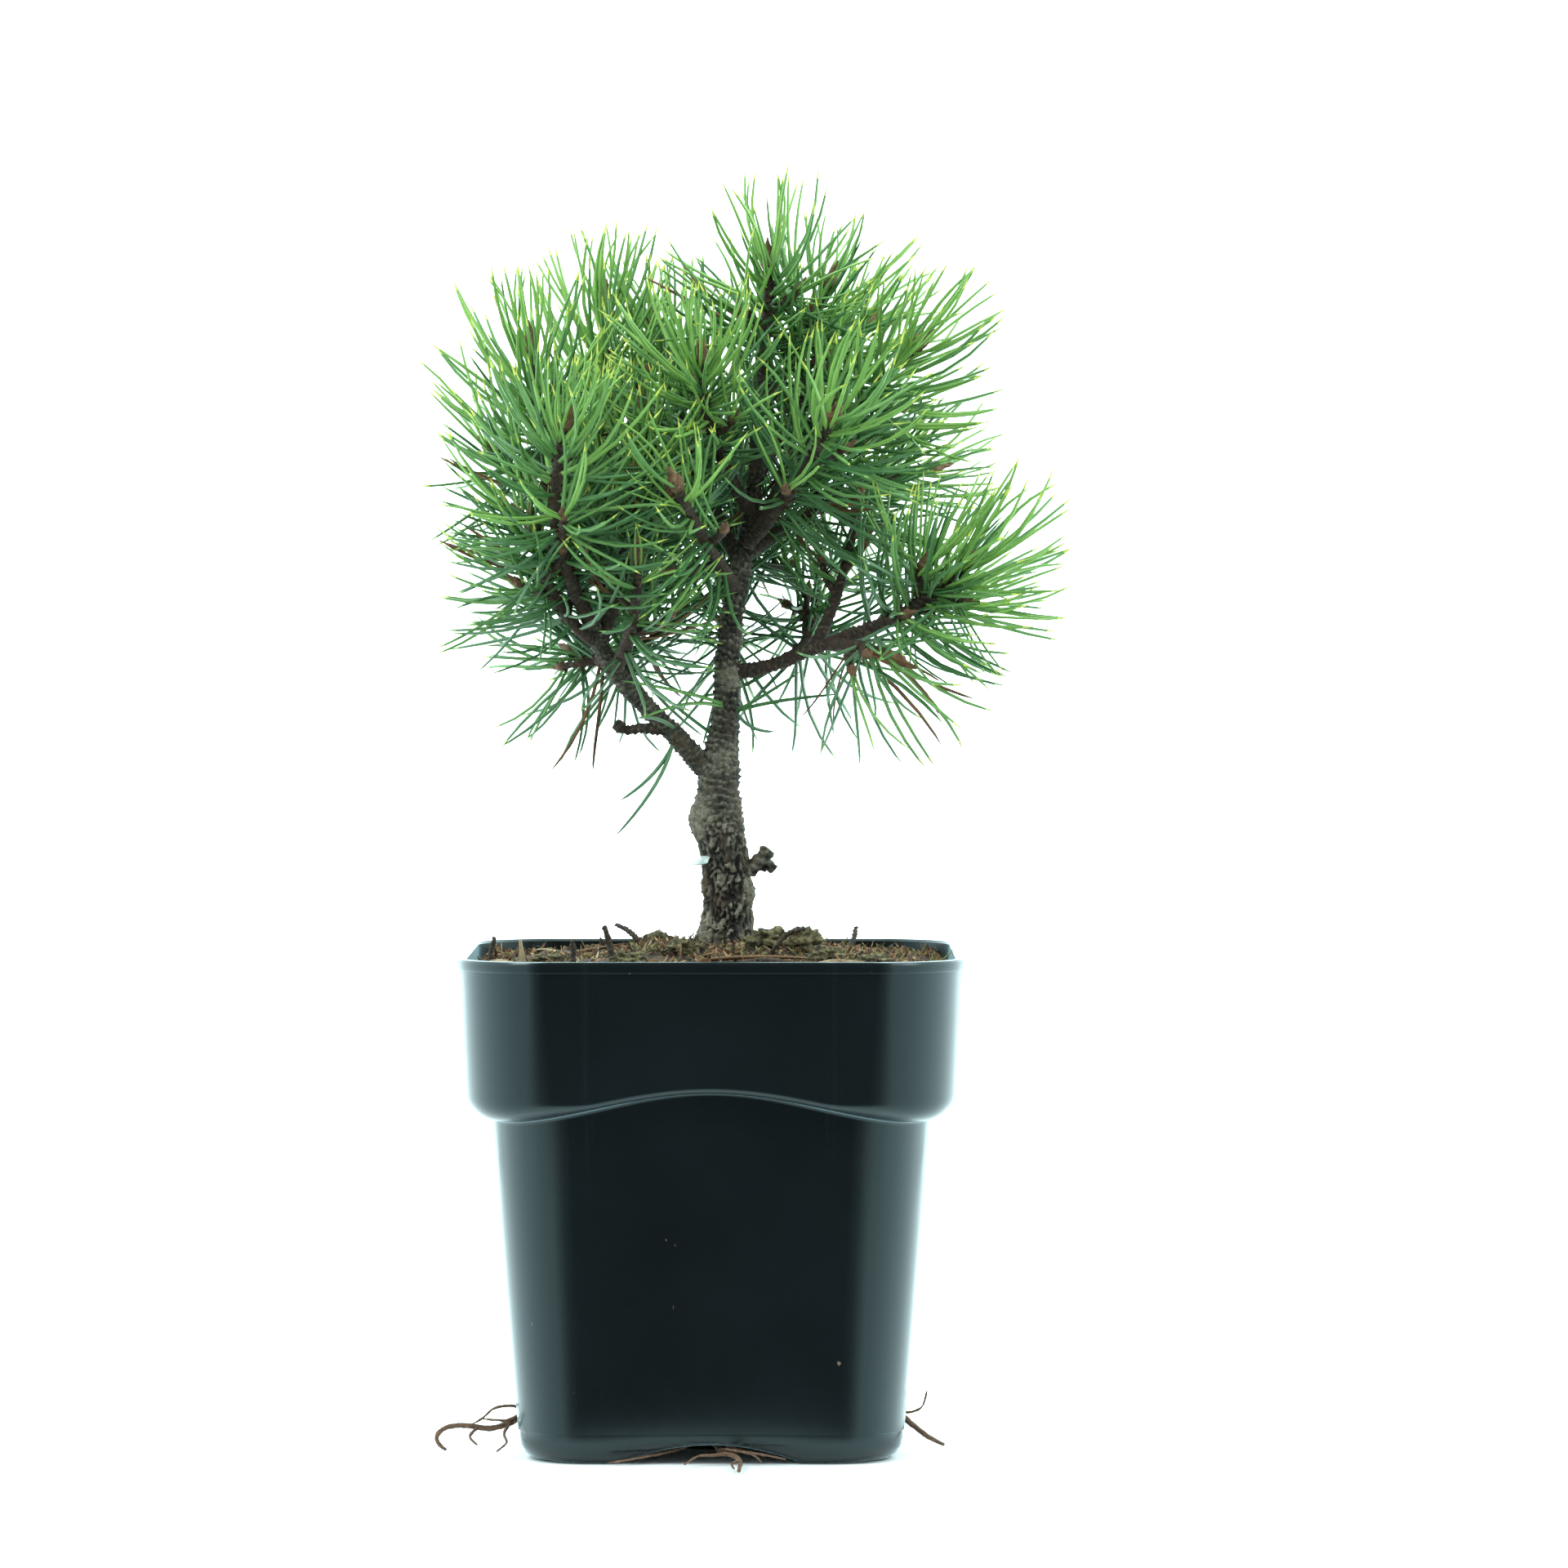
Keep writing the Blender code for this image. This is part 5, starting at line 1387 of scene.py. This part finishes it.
# %% Drain roots
ROOTS = {
    "drain_roots_left": [
        [(-56.2, -30, 12.5), (-60, -30.5, 10), (-66, -31, 8.2), (-74, -32, 9.2), (-79.5, -33, 8.6),
         (-82.2, -33, 6), (-81.2, -33, 3.4), (-79.5, -33, 2)],
        [(-56.2, -30, 14), (-60, -31, 15), (-65, -32, 14.3), (-68.5, -32, 11.4), (-72.5, -32, 9)],
        [(-56.2, -31, 13), (-61, -32, 10.8), (-65, -33, 11), (-69, -32, 11.2)],
        [(-60, -31, 10.2), (-62, -34, 7), (-61.2, -37, 4.5), (-64, -39, 2.2)],
        [(-70, -32, 8.6), (-72.2, -35, 6.2), (-70, -37, 4)],
    ],
    "drain_roots_right": [
        [(56.2, -30, 12.5), (60.5, -31, 9), (65, -33, 5.8), (69.5, -34, 3.6)],
        [(56.2, -29, 13), (60, -30, 13), (63.2, -31, 15), (64.5, -31, 19.5)],
    ],
    "drain_roots_front": [
        [(0, -41, 8.8), (0.3, -41.5, 6.6), (3, -52, 3.6), (7, -60, 3.2), (8.8, -70, 2.6), (8.5, -82, 1.4)],
        [(5.5, -56, 3.4), (0, -60, 3.4), (-4, -60, 3), (-7.5, -66, 1.4)],
        [(0.2, -41.2, 7), (-10, -50, 4), (-22, -56, 2), (-30, -59, 1)],
        [(1, -44, 6), (10, -54, 4), (17, -58, 3), (22, -60, 2.2)],
        [(8.8, -68, 2.8), (6.4, -72, 2.2), (7, -77, 1.4)],
        [(3, -52, 4.4), (6, -57, 4.6), (12, -59, 3.6), (15, -63, 1.8)],
    ],
}
ROOT_RADIUS = 0.00105


def root_push(along, turn, radius, place):
    return grain(place, 0.00022, 0.0012)


root_tubes = []
for lines in ROOTS.values():
    for order, line in enumerate(lines):
        radii = ROOT_RADIUS * (0.5 if order else 1.0) * np.linspace(1, 0.5, len(line))
        root_tubes.append((np.column_stack([metres(line), radii]), 9, root_push))
# As on the bark, the darkest colour goes where the root's relief is low, partly as painted shade.
root_brown = bark_finish("root_skin", (0.045, 0.024, 0.014), ((0.150, 0.085, 0.050), (0.330, 0.210, 0.130)),
                         (0.210, 0.110, 0.060), 0.55)
roots = tubes_piece("fine_roots", root_tubes, 0.8 * mm, root_brown, "root")
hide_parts(*ROOTS)
print("roots:", len(roots.data.polygons), "faces")

# %% [markdown]
# ## Loose needles and the old tie
#
# A few needles hang on by themselves: a pair below the stump, some from the trunk above the fork and some
# that dropped onto the mix. A scrap of pale green tie is still caught on the trunk's burl.

# %% Loose needles
LOOSE_NEEDLES = [
    ((-12, -8, 212), (-17, -12, 202), (-28, -16, 195.5), "old"),
    ((-12.2, -8.5, 211.8), (-15, -13, 200), (-29.5, -18, 184.5), "old"),
    ((7.5, -3, 222.6), (18, -8, 226.2), (39, -14, 227.8), "deep"),
    ((7.6, -3.2, 222.8), (17, -10, 228), (27, -20, 235), "deep"),
    ((7.8, -3, 221.5), (12, -9, 216), (19, -12, 216.5), "old"),
    ((3, -4.5, 223.8), (-7, -18, 227), (-21, -30, 220.5), "green"),
    ((3, -4.5, 224.6), (-9, -16, 229), (-27.5, -28, 232), "green"),
    ((-1, -3, 216), (-11, -12, 223.5), (-19, -20, 231), "deep"),
    ((-11.5, -8, 217.5), (-16, -14, 221.5), (-22.5, -20, 220.6), "old"),
    ((0, -45, 149.5), (15, -50, 151), (30, -52, 150), "dry"),
    ((-45, 10, 148), (-35, 20, 150), (-25, 34, 150.5), "dry"),
    ((45, -10, 148), (38, 5, 150), (34, 22, 150), "dry"),
]
LOOSE_STEPS = 10
loose_skin = Skin()
loose_kinds = ("green", "deep", "old", "dry")
width = NEEDLE_RADIUS * (1 - 0.55 * np.linspace(0, 1, LOOSE_STEPS) ** 3)
for *places, kind in LOOSE_NEEDLES:
    start, middle, end = metres(places)
    path = bowed_line(start, end, (middle - (start + end) / 2) / 2, (0, 0), LOOSE_STEPS)
    points, faces, _ = needle_faces(path[:, :3], width, [0] * (LOOSE_STEPS - 1))
    loose_skin.add(points, faces, loose_kinds.index(kind))
loose_finishes = [blades[kind] for kind in loose_kinds]
new_piece("loose_needles", loose_skin.mesh("loose_needles"), loose_finishes, "needles")
print("loose needles:", len(LOOSE_NEEDLES))

# %% The scrap of tie
TIE_PATH = metres([(-1, -9.2, 177.5), (-3.8, -7.8, 177.2), (-5.2, -5, 176.8)])
TIE_WIDTH, TIE_THICKNESS, TIE_ROLL = 0.0042, 0.0003, 0.3
tie_greens = [(0.35, (0.34, 0.42, 0.37)), (0.65, (0.58, 0.68, 0.66))]
faded_tie, _ = mottled("faded_tie", 0.6, (0.002, 3.0), tie_greens, (0.0005, 3.0, 0.0002, 0.6))
tie_skin = Skin()
tie_skin.add(*strip(through_points(TIE_PATH, 0.4 * mm), TIE_WIDTH, TIE_THICKNESS, TIE_ROLL))
tie = tie_skin.piece("scrap_of_tie", faded_tie, "pot_plastic")
print("scrap of tie:", len(tie.data.polygons), "faces")
